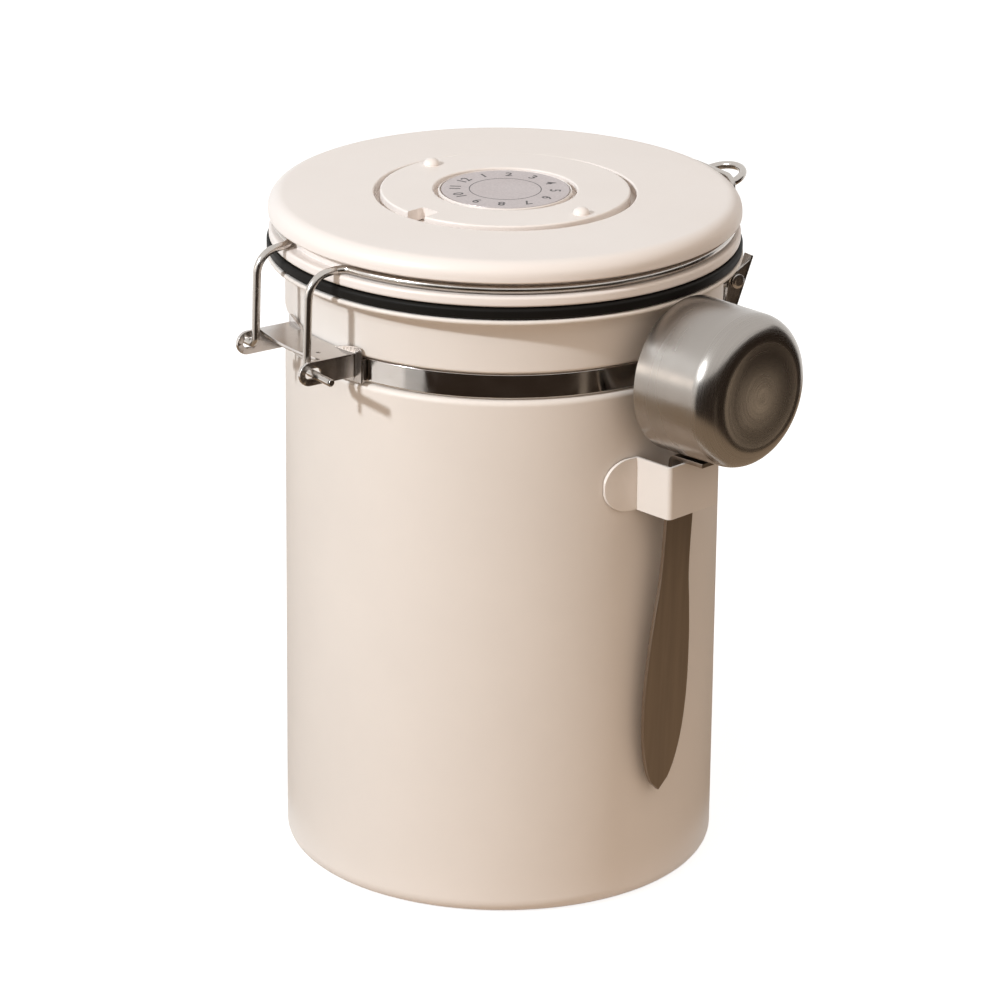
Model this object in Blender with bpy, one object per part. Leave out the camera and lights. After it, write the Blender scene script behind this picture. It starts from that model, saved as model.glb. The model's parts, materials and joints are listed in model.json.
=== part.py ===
"""Airtight coffee canister: wire-hinged lid, lever latch, date dial and a clipped-on scoop.

The can stands on z = 0 with its axis on Z. The lid's hinge is on the +Y side and its latch on the
-Y side. What sits on the side is modelled as if it were on the +Y side, with X along the surface
and Y outwards, and is then turned about Z to its own place.
"""

import math

import bmesh
import bpy
from mathutils import Matrix, Vector

MM = 0.001
FULL_TURN = 360.0
RIGHT_ANGLE = 90.0
HALF_TURN = 180.0

# Clearances shared by all pieces
SEAT_GAP = 0.3 * MM
OVERRUN = 2.0 * MM
MERGE_DISTANCE = 0.01 * MM

# How finely round forms are cut
BODY_STEPS = 44
DIAL_STEPS = 36
CUP_STEPS = 28
SMALL_STEPS = 16
SCREW_STEPS = 8
ROUND_STEPS = 3
FINE_STEPS = 2
EDGE_STEPS = 4
BEND_STEPS = 3
WIRE_RING_STEPS = 16
SMOOTH_ANGLE = 35.0

# Can body
BODY_R = 60.0 * MM
BODY_WALL = 0.8 * MM
BASE_CORNER_R = 4.0 * MM
SHOULDER_Z = 149.2 * MM
SHOULDER_R = 1.5 * MM
GROOVE_HEIGHT = 7.7 * MM
NECK_HEIGHT = 10.6 * MM
NECK_CORNER_R = 0.9 * MM
FLARE_R = 4.5 * MM
RIM_BEAD_R = 0.65 * MM
RIM_CREST_INSET = 0.7 * MM
FLARE_INNER_END = 105.0
BASE_BEAD_INSET = 12.8 * MM
BASE_BEAD_WIDTH = 5.4 * MM
BASE_BEAD_DEPTH = 0.8 * MM
BASE_BEAD_SLOPE = 1.2 * MM

# Neck band, and how far it lies inside the can's outline
BAND_INSET = 1.0 * MM
BAND_WALL = 0.8 * MM
BAND_SIDE_GAP = 0.55 * MM
BAND_END_GAP = 1.6 * MM

# Lid, from the rim upwards
GASKET_HEIGHT = 3.7 * MM
GASKET_PROUD = 1.4 * MM
GASKET_ROUND = 0.6 * MM
GASKET_LIP_GAP = 1.3 * MM
GASKET_LIP_DROP = 2.1 * MM
PLUG_GAP = 1.9 * MM
PLUG_WALL = 2.2 * MM
PLUG_LIP = 1.0 * MM
PLUG_LIP_HEIGHT = 0.9 * MM
PLUG_REACH = 1.5 * MM
FLOOR_THICKNESS = 2.0 * MM
FLANGE_INSET = 1.15 * MM
FLANGE_HEIGHT = 2.9 * MM
FLANGE_ROUND = 0.8 * MM
FLANGE_THICKNESS = 2.0 * MM
WIRE_D = 2.2 * MM
WIRE_INSET = 2.6 * MM
RIM_WALL = 2.0 * MM
COVER_PROUD = 0.25 * MM
COVER_HEIGHT = 5.6 * MM
COVER_SIDE = 1.0 * MM
COVER_FOOT_ROUND = 0.6 * MM
COVER_SKIN = 2.0 * MM
WELL_GAP = 0.4 * MM
WELL_DEPTH = 2.9 * MM
WELL_FLOOR = 1.3 * MM
WELL_WALL = 1.5 * MM
POST_R = 3.2 * MM
POST_COUNT = 4
POST_TURN = 45.0

# Screws through the lid base into the cover's posts
SCREW_D = 2.6 * MM
SCREW_HEAD_D = 5.4 * MM
SCREW_HEAD_HEIGHT = 1.2 * MM
SCREW_BITE = 6.0 * MM

# Date dial, snapped into the cover
DIAL_MARGIN = 29.0 * MM
DIAL_PROUD = 0.7 * MM
DIAL_EDGE = 0.5 * MM
HUB_WALL = 1.5 * MM
HUB_BARB = 1.6 * MM
HUB_BARB_HEIGHT = 0.7 * MM
HUB_STEP = 1.0 * MM
KNOB_WELL_DEPTH = 2.2 * MM
NUB_INSET = 6.0 * MM
NUB_R = 2.3 * MM
NUB_HEIGHT = 1.9 * MM
NUB_TURN = 98.0
WINDOW_TURN = 10.5
WINDOW_WIDTH = 6.4 * MM
WINDOW_LENGTH = 7.8 * MM
WINDOW_CORNER_R = 0.8 * MM

# Month knob and its printed plate
KNOB_MARGIN = 16.8 * MM
KNOB_THICKNESS = 1.8 * MM
KNOB_EDGE = 0.3 * MM
STEM_R = 3.7 * MM
STEM_GAP = 0.4 * MM
STEM_BARB = 0.9 * MM
STEM_BARB_HEIGHT = 0.7 * MM
PLATE_MARGIN = 1.6 * MM
PLATE_THICKNESS = 0.4 * MM

# One-way gas valve
VALVE_R = 15.0 * MM
VALVE_FLANGE = 2.6 * MM
VALVE_FLANGE_HEIGHT = 1.0 * MM
VALVE_WALL = 1.6 * MM
VALVE_SEAT_RISE = 4.0 * MM
VALVE_SEAT_THICKNESS = 1.2 * MM
VALVE_PROUD = 1.2 * MM
VENT_COUNT = 6
VENT_R = 1.2 * MM
VENT_SPACING = 2.0 * MM
FLAP_MARGIN = 2.3 * MM
FLAP_THICKNESS = 0.9 * MM
FLAP_STEM_R = 1.4 * MM
FLAP_STEM_GAP = 0.4 * MM
FLAP_BARB = 1.1 * MM
FLAP_BARB_HEIGHT = 0.8 * MM
NUT_WIDTH = 2.8 * MM
NUT_HEIGHT = 1.8 * MM
FILTER_THICKNESS = 0.6 * MM
FILTER_HOLE_R = 0.9 * MM
FILTER_HOLE_COUNT = 8
FILTER_HOLE_INSET = 5.1 * MM

# Lid wire: hinge legs, pins and the tang for the latch. Reaches are out from the can's side
HINGE_REACH = 12.5 * MM
HINGE_RISE = 1.55 * MM
ELBOW_RUN = 2.1 * MM
PIN_BEND_R = 2.0 * MM
GROOVE_ENTRY_R = 3.6 * MM
SHORT_PIN = 5.4 * MM
LONG_PIN = 12.2 * MM
TANG_SIDE_GAP = 1.3 * MM
TANG_ROOT_R = 2.6 * MM
TANG_REACH = 9.6 * MM
TANG_RISE = 38.0
TANG_STEPS = 6

# Hinge bracket, folded from one plate
EAR_THICKNESS = 1.0 * MM
HINGE_EAR_X = 15.0 * MM
LEG_EAR_GAP = 1.2 * MM
HINGE_EAR_R = 3.3 * MM
HINGE_EAR_TIP = 0.9 * MM
PIN_SLOT_LENGTH = 2.0 * MM
WEB_THICKNESS = 1.0 * MM
WEB_REACH = 4.4 * MM
WEB_BOW = 5.0 * MM
STRIP_WALL = 1.5 * MM
STRIP_MARGIN = 0.2 * MM
STRIP_TAB = 4.2 * MM
STRIP_STEPS = 8

# Latch bracket and its lever
LEVER_REACH = 9.0 * MM
LEVER_RISE = 1.95 * MM
LATCH_EAR_X = 12.5 * MM
LATCH_EAR_R = 3.0 * MM
LEVER_WALL = 0.9 * MM
CHEEK_GAP = 1.1 * MM
LEVER_TILT = 21.0
LEVER_EAR_GAP = 0.5 * MM
LEVER_TOP = 5.6 * MM
LEVER_SLOPE_LENGTH = 9.0 * MM
LEVER_WAIST_REACH = 4.9 * MM
LEVER_WAIST_DROP = 20.0 * MM
LEVER_HEEL_REACH = 3.2 * MM
LEVER_HEEL_DROP = 10.5 * MM
LEVER_LIP_REACH = 6.6 * MM
LEVER_LIP_DROP = 9.5 * MM
LEVER_TAPER = 4.0 * MM
LEVER_CORNER_R = 4.5 * MM
LEVER_BEND_R = 6.0 * MM
LEVER_FORK_GAP = 0.8 * MM
LEVER_FORK_DEPTH = 2.3 * MM
LEVER_FORK_R = 3.0 * MM
CHEEK_MARGIN = 2.6 * MM
RIVET_D = 2.4 * MM
RIVET_HEAD_D = 4.2 * MM
RIVET_HEAD_HEIGHT = 0.6 * MM

# Latch bail
BAIL_D = 2.0 * MM
BAIL_EAR_GAP = 1.0 * MM
BAIL_DROP = 7.7 * MM
BAIL_INSET = 1.5 * MM
BAIL_BAR_INSET = 4.2 * MM
BAIL_BEND_R = 3.2 * MM
BAIL_FOOT_BEND_R = 1.4 * MM
BAIL_END_PROUD = 0.7 * MM

# Scoop clip, a channel that stands out round the scoop's handle
SCOOP_TURN = 102.0
CLIP_REACH = 12.5 * MM
CLIP_WALL = 0.9 * MM
CLIP_HEIGHT = 14.6 * MM
CLIP_BEND_R = 1.4 * MM
CLIP_TAB_ANGLE = 20.8
CLIP_TAB_STEPS = 4

# Scoop
CUP_R = 23.5 * MM
CUP_DEPTH = 28.0 * MM
CUP_REACH = 10.0 * MM
CUP_RISE = 1.45 * MM
CUP_WALL = 0.8 * MM
CUP_CORNER_R = 7.0 * MM
CUP_TAPER = 0.8 * MM
CUP_CORNER_STEPS = 5
HANDLE_THICKNESS = 1.2 * MM
HANDLE_LENGTH = 99.1 * MM
HANDLE_TIP_REACH = 1.9 * MM
HANDLE_TOP_REACH = 7.0 * MM
HANDLE_LEAF_X = 8.5 * MM
HANDLE_SIDE_GAP = 0.5 * MM
HANDLE_TAB = 12.0 * MM
HANDLE_BEND_R = 2.2 * MM
# Along the blade from its bend to its tip, and the half width there as a share of the full leaf
HANDLE_LEAF_SHARES = ((0.0, 0.61), (0.14, 0.61), (0.33, 0.64), (0.45, 0.80), (0.56, 0.93), (0.70, 1.0),
                      (0.82, 0.92), (0.91, 0.70), (0.97, 0.38))

# Heights and radii that follow from the sizes above
BAND_R = BODY_R - BAND_INSET
BAND_HEIGHT = GROOVE_HEIGHT - 2 * BAND_SIDE_GAP
BAND_SEAT_R = BAND_R - BAND_WALL - SEAT_GAP
THROAT_R = BAND_SEAT_R - BODY_WALL
BODY_INNER_R = BODY_R - BODY_WALL
GROOVE_TOP_Z = SHOULDER_Z + GROOVE_HEIGHT
BAND_Z = SHOULDER_Z + (GROOVE_HEIGHT - BAND_HEIGHT) / 2
BAND_MID_Z = SHOULDER_Z + GROOVE_HEIGHT / 2
FLARE_Z = GROOVE_TOP_Z + NECK_HEIGHT
RIM_R = BODY_R + FLARE_R
RIM_TOP_Z = FLARE_Z + FLARE_R + 2 * RIM_BEAD_R
GASKET_Z = RIM_TOP_Z + SEAT_GAP
GASKET_R = RIM_R + GASKET_PROUD
PLUG_R = THROAT_R - PLUG_GAP
FLANGE_R = GASKET_R - FLANGE_INSET
FLANGE_Z = GASKET_Z + GASKET_HEIGHT + SEAT_GAP
PLUG_Z = GASKET_Z - GASKET_LIP_DROP - PLUG_REACH
FLANGE_TOP_Z = FLANGE_Z + FLANGE_HEIGHT
WIRE_RING_R = FLANGE_R - WIRE_INSET
WIRE_Z = FLANGE_TOP_Z + SEAT_GAP + WIRE_D / 2
GROOVE_R = WIRE_RING_R - WIRE_D / 2 - SEAT_GAP
COVER_R = FLANGE_R + COVER_PROUD
COVER_Z = WIRE_Z + WIRE_D / 2 + SEAT_GAP
COVER_TOP_Z = COVER_Z + COVER_HEIGHT
COVER_EDGE_R = COVER_HEIGHT - COVER_FOOT_ROUND - COVER_SIDE
DIAL_R = COVER_R - DIAL_MARGIN
WELL_R = DIAL_R + WELL_GAP
WELL_FLOOR_Z = COVER_TOP_Z - WELL_DEPTH
WELL_UNDER_Z = WELL_FLOOR_Z - WELL_FLOOR
POST_RING_R = (WELL_R + WELL_WALL + PLUG_R - PLUG_WALL) / 2
FLOOR_TOP_Z = PLUG_Z + FLOOR_THICKNESS
DIAL_Z = WELL_FLOOR_Z + SEAT_GAP
DIAL_TOP_Z = COVER_TOP_Z + DIAL_PROUD
BARB_TOP_Z = WELL_UNDER_Z - SEAT_GAP
HUB_BORE_R = STEM_R + STEM_GAP
HUB_R = HUB_BORE_R + HUB_WALL
KNOB_R = DIAL_R - KNOB_MARGIN
KNOB_WELL_Z = DIAL_TOP_Z - KNOB_WELL_DEPTH
KNOB_WELL_R = KNOB_R + SEAT_GAP
KNOB_Z = KNOB_WELL_Z + SEAT_GAP
PLATE_R = KNOB_R - PLATE_MARGIN
PLATE_SEAT_Z = KNOB_Z + KNOB_THICKNESS - PLATE_THICKNESS - SEAT_GAP
VALVE_Z = PLUG_Z - SEAT_GAP - VALVE_FLANGE_HEIGHT
VALVE_SEAT_Z = VALVE_Z + VALVE_SEAT_RISE
VALVE_SEAT_TOP_Z = VALVE_SEAT_Z + VALVE_SEAT_THICKNESS
VALVE_TOP_Z = FLOOR_TOP_Z + SEAT_GAP + NUT_HEIGHT + VALVE_PROUD
VALVE_BORE_R = VALVE_R - VALVE_WALL
VALVE_HOLE_R = VALVE_R + SEAT_GAP
VALVE_STEM_BORE_R = FLAP_STEM_R + FLAP_STEM_GAP
VENT_RING_R = VALVE_STEM_BORE_R + VENT_SPACING + VENT_R
STRIP_INNER_R = BAND_R + SEAT_GAP
STRIP_R = STRIP_INNER_R + STRIP_WALL
STRIP_HEIGHT = BAND_HEIGHT - 2 * STRIP_MARGIN
HINGE_Y = BODY_R + HINGE_REACH
HINGE_Z = BAND_MID_Z + HINGE_RISE
ELBOW_R = HINGE_Y - WIRE_RING_R - ELBOW_RUN
LEG_X = HINGE_EAR_X - EAR_THICKNESS / 2 - LEG_EAR_GAP - WIRE_D / 2
WEB_Z = HINGE_Z + HINGE_EAR_R - WEB_THICKNESS
TANG_KNEE_Y = COVER_R + TANG_REACH
LEVER_Y = BODY_R + LEVER_REACH
LEVER_Z = BAND_MID_Z + LEVER_RISE
LEVER_OFFSET = LATCH_EAR_R + LEVER_EAR_GAP
LEVER_X = LATCH_EAR_X + EAR_THICKNESS / 2 + CHEEK_GAP + LEVER_WALL
LEVER_WAIST = (BODY_R + LEVER_WAIST_REACH, LEVER_Z - LEVER_WAIST_DROP)
LEVER_HEEL = (BODY_R + LEVER_HEEL_REACH, LEVER_WAIST[1] - LEVER_HEEL_DROP)
LEVER_LIP = (BODY_R + LEVER_LIP_REACH, LEVER_HEEL[1] - LEVER_LIP_DROP)
BAIL_X = LATCH_EAR_X - EAR_THICKNESS / 2 - BAIL_EAR_GAP - BAIL_D / 2
TANG_X = BAIL_X - BAIL_D / 2 - TANG_SIDE_GAP - WIRE_D / 2
BAIL_Y = LEVER_Y - BAIL_INSET
BAIL_Z = LEVER_Z - BAIL_DROP
BAIL_BAR_Y = TANG_KNEE_Y - BAIL_BAR_INSET
BAIL_BAR_Z = WIRE_Z + WIRE_D / 2 + SEAT_GAP + BAIL_D / 2
CUP_Z = BAND_MID_Z + CUP_RISE
CUP_MOUTH_Y = BODY_R + CUP_REACH
TAB_TOP_Z = CUP_Z - CUP_R - SEAT_GAP
CLIP_TOP_Z = TAB_TOP_Z - HANDLE_THICKNESS - SEAT_GAP
CLIP_Z = CLIP_TOP_Z - CLIP_HEIGHT
CLIP_Y = BODY_R + CLIP_REACH
CLIP_X = HANDLE_LEAF_X + HANDLE_SIDE_GAP + CLIP_WALL
HANDLE_TOP_Y = BODY_R + HANDLE_TOP_REACH
HANDLE_BEND_Z = TAB_TOP_Z - HANDLE_BEND_R
HANDLE_TIP = (BODY_R + HANDLE_TIP_REACH, TAB_TOP_Z - HANDLE_LENGTH)

# Colours, roughness and metal share of each finish
FINISHES = {
    "can_coat": ((0.86, 0.78, 0.71), 0.45, 0.0),
    "lid_plastic": ((0.90, 0.86, 0.80), 0.40, 0.0),
    "silicone": ((0.02, 0.02, 0.02), 0.55, 0.0),
    "clear_silicone": ((0.80, 0.80, 0.78), 0.50, 0.0),
    "bright_steel": ((0.75, 0.74, 0.72), 0.15, 1.0),
    "brushed_steel": ((0.62, 0.60, 0.57), 0.35, 1.0),
    "printed_metal": ((0.66, 0.62, 0.62), 0.40, 1.0),
}


def polar(radius, angle):
    """The point at a radius and an angle in degrees, from the first axis towards the second."""
    return radius * math.cos(math.radians(angle)), radius * math.sin(math.radians(angle))


def arc(centre, radius, start, end, steps=ROUND_STEPS):
    """Points of a circular arc between two angles in degrees, both ends included."""
    points = []
    for step in range(steps + 1):
        u, v = polar(radius, start + (end - start) * step / steps)
        points.append((centre[0] + u, centre[1] + v))
    return points


def to_mesh(bm):
    """A mesh datablock from a bmesh, with doubles merged and its faces pointing out."""
    bmesh.ops.remove_doubles(bm, verts=bm.verts, dist=MERGE_DISTANCE)
    bmesh.ops.recalc_face_normals(bm, faces=bm.faces)
    mesh = bpy.data.meshes.new("shape")
    bm.to_mesh(mesh)
    bm.free()
    return mesh


def turned(outline, steps, angle=FULL_TURN):
    """An outline of (radius, height) points spun about Z. It closes on itself or on the axis."""
    bm = bmesh.new()
    verts = [bm.verts.new((radius, 0, height)) for radius, height in outline]
    edges = [bm.edges.new(pair) for pair in zip(verts, verts[1:])]
    meets_axis = outline[0][0] == 0 and outline[-1][0] == 0
    if not meets_axis:
        edges.append(bm.edges.new((verts[-1], verts[0])))
    whole = angle == FULL_TURN
    bmesh.ops.spin(bm, geom=verts + edges, cent=(0, 0, 0), axis=(0, 0, 1),
                   angle=math.radians(angle), steps=steps, use_merge=whole)
    if not whole:
        for loop in (verts, [vert for vert in bm.verts if on_end_plane(vert.co, angle)]):
            bmesh.ops.contextual_create(bm, geom=loop)
    return to_mesh(bm)


def on_end_plane(point, angle):
    """Whether a point lies on the half plane where a spin of that angle from X ends."""
    across = Vector(polar(1, angle + RIGHT_ANGLE)).dot(point.xy)
    along = Vector(polar(1, angle)).dot(point.xy)
    return abs(across) < MERGE_DISTANCE and along > 0


def plate(outlines, plane, thickness):
    """A flat plate: the first outline is its edge and any others are holes, raised along Z of plane."""
    bm = bmesh.new()
    edges = []
    for outline in outlines:
        verts = [bm.verts.new(plane @ Vector((u, v, 0))) for u, v in outline]
        edges += [bm.edges.new(pair) for pair in zip(verts, verts[1:] + verts[:1])]
    bmesh.ops.triangle_fill(bm, use_beauty=True, edges=edges, normal=plane.to_3x3().col[2])
    raised = bmesh.ops.extrude_face_region(bm, geom=bm.faces[:])["geom"]
    lift = plane.to_3x3() @ Vector((0, 0, thickness))
    corners = [item for item in raised if isinstance(item, bmesh.types.BMVert)]
    bmesh.ops.translate(bm, vec=lift, verts=corners)
    return to_mesh(bm)


def flat_plane(z):
    """The plane of X and Y at a height."""
    return Matrix.Translation((0, 0, z))


def side_plane(x):
    """The plane of Y and Z at an x, whose normal is +X."""
    return Matrix(((0, 0, 1, x), (1, 0, 0, 0), (0, 1, 0, 0), (0, 0, 0, 1)))


def front_plane(y):
    """The plane of X and Z at a y, whose normal is -Y."""
    return Matrix(((1, 0, 0, 0), (0, 0, -1, y), (0, 1, 0, 0), (0, 0, 0, 1)))


def punch(outline, near_y, far_y):
    """A cutter through the side, from an outline of X and Z, that runs past both depths."""
    return plate([outline], front_plane(far_y + OVERRUN), far_y - near_y + 2 * OVERRUN)


def about_z(angle):
    """A turn about the can's axis, in degrees."""
    return Matrix.Rotation(math.radians(angle), 4, "Z")


def moved(mesh, matrix):
    """The same mesh after a transform."""
    mesh.transform(matrix)
    return mesh


def gathered(meshes):
    """Meshes that stay separate solids, in one datablock."""
    bm = bmesh.new()
    for mesh in meshes:
        bm.from_mesh(mesh)
    return to_mesh(bm)


def combined(operation, first, *others):
    """The exact Boolean result of a first mesh with each of the others in turn."""
    result = first
    for other in others:
        base = bpy.data.objects.new("base", result)
        tool = bpy.data.objects.new("tool", other)
        for item in (base, tool):
            bpy.context.scene.collection.objects.link(item)
        boolean = base.modifiers.new("boolean", "BOOLEAN")
        boolean.operation = operation
        boolean.object = tool
        graph = bpy.context.evaluated_depsgraph_get()
        result = bpy.data.meshes.new_from_object(base.evaluated_get(graph))
        for item in (base, tool):
            bpy.data.objects.remove(item)
    return result


def bent_route(corners):
    """A route through (point, bend radius) corners, each turned into an arc of that radius."""
    route = [corners[0][0]]
    for (before, _), (corner, radius), (after, _) in zip(corners, corners[1:], corners[2:]):
        if radius == 0:
            route.append(corner)
            continue
        back = (before - corner).normalized()
        ahead = (after - corner).normalized()
        half = back.angle(ahead) / 2
        setback = radius / math.tan(half)
        centre = corner + (back + ahead).normalized() * (radius / math.sin(half))
        start = corner + back * setback - centre
        end = corner + ahead * setback - centre
        axis = start.cross(end)
        turn = start.angle(end)
        for step in range(BEND_STEPS + 1):
            route.append(centre + Matrix.Rotation(turn * step / BEND_STEPS, 3, axis) @ start)
    route.append(corners[-1][0])
    return route


def wire(route, diameter):
    """A round wire along a route, with flat ends."""
    curve = bpy.data.curves.new("wire", "CURVE")
    curve.dimensions = "3D"
    curve.bevel_depth = diameter / 2
    curve.bevel_resolution = 2
    curve.use_fill_caps = True
    spline = curve.splines.new("POLY")
    spline.points.add(len(route) - 1)
    for place, point in zip(spline.points, route):
        place.co = (*point, 1)
    return curve


def rod(diameter, start, end, steps=SMALL_STEPS):
    """A round rod between two points."""
    start, end = Vector(start), Vector(end)
    length = (end - start).length
    mesh = turned([(0, 0), (diameter / 2, 0), (diameter / 2, length), (0, length)], steps)
    turn = Vector((0, 0, 1)).rotation_difference(end - start).to_matrix().to_4x4()
    return moved(mesh, Matrix.Translation(start) @ turn)


def can_body():
    """The drawn can: a beaded base, the band's groove and a flared rim, in one wall."""
    inner = BODY_INNER_R
    bead_mid = BODY_R - BASE_BEAD_INSET
    bead_half = BASE_BEAD_WIDTH / 2
    bead_top = bead_half - BASE_BEAD_SLOPE
    corner = (BODY_R - BASE_CORNER_R, BASE_CORNER_R)
    flare = (BODY_R + FLARE_R, FLARE_Z)
    bead = (RIM_R, RIM_TOP_Z - RIM_BEAD_R)
    outside = [(0, 0), (bead_mid - bead_half, 0), (bead_mid - bead_top, BASE_BEAD_DEPTH),
               (bead_mid + bead_top, BASE_BEAD_DEPTH), (bead_mid + bead_half, 0)]
    outside += arc(corner, BASE_CORNER_R, -RIGHT_ANGLE, 0)
    outside += arc((BODY_R - SHOULDER_R, SHOULDER_Z - SHOULDER_R), SHOULDER_R, 0, RIGHT_ANGLE, FINE_STEPS)
    outside += [(BAND_SEAT_R, SHOULDER_Z), (BAND_SEAT_R, GROOVE_TOP_Z)]
    neck_corner = (BODY_R - NECK_CORNER_R, GROOVE_TOP_Z + NECK_CORNER_R)
    outside += arc(neck_corner, NECK_CORNER_R, -RIGHT_ANGLE, 0, FINE_STEPS)
    outside += arc(flare, FLARE_R, HALF_TURN, RIGHT_ANGLE)
    outside += arc(bead, RIM_BEAD_R, -RIGHT_ANGLE, RIGHT_ANGLE)
    inside = [(RIM_R - RIM_CREST_INSET, RIM_TOP_Z)]
    inside += arc(flare, FLARE_R + BODY_WALL, FLARE_INNER_END, HALF_TURN)
    inside += [(inner, GROOVE_TOP_Z + NECK_CORNER_R), (THROAT_R, GROOVE_TOP_Z - BODY_WALL),
               (THROAT_R, SHOULDER_Z + BODY_WALL - SHOULDER_R), (inner, SHOULDER_Z - 2 * SHOULDER_R)]
    inside += arc(corner, BASE_CORNER_R - BODY_WALL, 0, -RIGHT_ANGLE)
    bead_z = BODY_WALL + BASE_BEAD_DEPTH
    inside += [(bead_mid + bead_half, BODY_WALL), (bead_mid + bead_top, bead_z), (bead_mid - bead_top, bead_z),
               (bead_mid - bead_half, BODY_WALL), (0, BODY_WALL)]
    return turned(outside + inside, BODY_STEPS)


def neck_band():
    """The bright clamp band, whose two ends meet under the latch bracket."""
    section = [(BAND_R - BAND_WALL, BAND_Z), (BAND_R, BAND_Z),
               (BAND_R, BAND_Z + BAND_HEIGHT), (BAND_R - BAND_WALL, BAND_Z + BAND_HEIGHT)]
    gap_angle = math.degrees(BAND_END_GAP / BAND_R)
    return moved(turned(section, BODY_STEPS, FULL_TURN - gap_angle), about_z(gap_angle / 2 - RIGHT_ANGLE))


def band_strip(half_width):
    """A strip that lies on the band, the back of a bracket."""
    section = [(STRIP_INNER_R, BAND_MID_Z - STRIP_HEIGHT / 2), (STRIP_R, BAND_MID_Z - STRIP_HEIGHT / 2),
               (STRIP_R, BAND_MID_Z + STRIP_HEIGHT / 2), (STRIP_INNER_R, BAND_MID_Z + STRIP_HEIGHT / 2)]
    half_angle = math.degrees(math.asin(half_width / STRIP_R))
    return moved(turned(section, STRIP_STEPS, 2 * half_angle), about_z(RIGHT_ANGLE - half_angle))


def ear(x, foot_y, pivot_y, pivot_z, radius, hole):
    """One upright ear of a bracket, rounded at its outer end, with its pivot's hole."""
    end = arc((pivot_y, pivot_z), radius, -RIGHT_ANGLE, RIGHT_ANGLE, 2 * ROUND_STEPS)
    outline = [(foot_y, pivot_z - radius), *end, (foot_y, pivot_z + radius)]
    return plate([outline, hole], side_plane(x - EAR_THICKNESS / 2), EAR_THICKNESS)


def foot_depth(x):
    """Where the foot of an ear at that x stops short of the can, inside the strip that carries it."""
    return math.sqrt((BODY_R + SEAT_GAP) ** 2 - (x - EAR_THICKNESS / 2) ** 2)


def hinge_bracket():
    """The folded hinge plate: a strip on the band, two ears and the web that joins them."""
    hole_r = WIRE_D / 2 + SEAT_GAP
    slot = [*arc((HINGE_Y - PIN_SLOT_LENGTH / 2, HINGE_Z), hole_r, RIGHT_ANGLE, RIGHT_ANGLE + HALF_TURN),
            *arc((HINGE_Y + PIN_SLOT_LENGTH / 2, HINGE_Z), hole_r, -RIGHT_ANGLE, RIGHT_ANGLE)]
    foot = foot_depth(HINGE_EAR_X)
    tip = HINGE_Y + HINGE_EAR_TIP
    ears = [ear(x, foot, tip, HINGE_Z, HINGE_EAR_R, slot) for x in (-HINGE_EAR_X, HINGE_EAR_X)]
    outer_edge = []
    back_edge = []
    for step in range(STRIP_STEPS + 1):
        x = HINGE_EAR_X * (2 * step / STRIP_STEPS - 1)
        bow = (x / HINGE_EAR_X) ** 2
        outer_edge.append((x, BODY_R + WEB_REACH + WEB_BOW * bow))
        back_edge.append((x, math.sqrt((BODY_R + SEAT_GAP) ** 2 - x ** 2)))
    web = plate([outer_edge + back_edge[::-1]], flat_plane(WEB_Z), WEB_THICKNESS)
    return combined("UNION", ears[0], ears[1], web, band_strip(HINGE_EAR_X + STRIP_TAB))


def latch_bracket():
    """The folded latch plate: a strip on the band with two ears for the lever's rivets."""
    hole = arc((LEVER_Y, LEVER_Z), RIVET_D / 2 + SEAT_GAP, 0, FULL_TURN, SCREW_STEPS)[:-1]
    foot = foot_depth(LATCH_EAR_X)
    ears = [ear(x, foot, LEVER_Y, LEVER_Z, LATCH_EAR_R, hole) for x in (-LATCH_EAR_X, LATCH_EAR_X)]
    bracket = combined("UNION", ears[0], ears[1], band_strip(LATCH_EAR_X + STRIP_TAB))
    return moved(bracket, about_z(HALF_TURN))


def scoop_clip():
    """The channel that holds the scoop's handle, with a half-round tab on each side."""
    lift = BODY_R + SEAT_GAP
    foot_x = CLIP_X - CLIP_WALL

    def tab(radius, x):
        """Half of the clip's section along the can, from the channel's wall to the tab's end."""
        start = math.degrees(math.asin(x / radius))
        return arc((0, 0), radius, RIGHT_ANGLE - start, RIGHT_ANGLE - CLIP_TAB_ANGLE, CLIP_TAB_STEPS)

    bend = (CLIP_X - CLIP_BEND_R, CLIP_Y - CLIP_BEND_R)
    outer = arc(bend, CLIP_BEND_R, RIGHT_ANGLE, 0, FINE_STEPS) + tab(lift + CLIP_WALL, CLIP_X)
    inner = arc(bend, CLIP_BEND_R - CLIP_WALL, RIGHT_ANGLE, 0, FINE_STEPS) + tab(lift, foot_x)
    outline = [(-x, y) for x, y in outer[::-1]] + outer + inner[::-1] + [(-x, y) for x, y in inner]
    section = plate([outline], flat_plane(CLIP_Z), CLIP_HEIGHT)
    reach = (lift + CLIP_WALL) * math.sin(math.radians(CLIP_TAB_ANGLE)) - CLIP_HEIGHT / 2
    middle = CLIP_Z + CLIP_HEIGHT / 2
    rounded = [*arc((reach, middle), CLIP_HEIGHT / 2, -RIGHT_ANGLE, RIGHT_ANGLE, 2 * ROUND_STEPS),
               *arc((-reach, middle), CLIP_HEIGHT / 2, RIGHT_ANGLE, RIGHT_ANGLE + HALF_TURN, 2 * ROUND_STEPS)]
    keep = punch(rounded, 0, CLIP_Y)
    return moved(combined("INTERSECT", section, keep), about_z(SCOOP_TURN))


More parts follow.
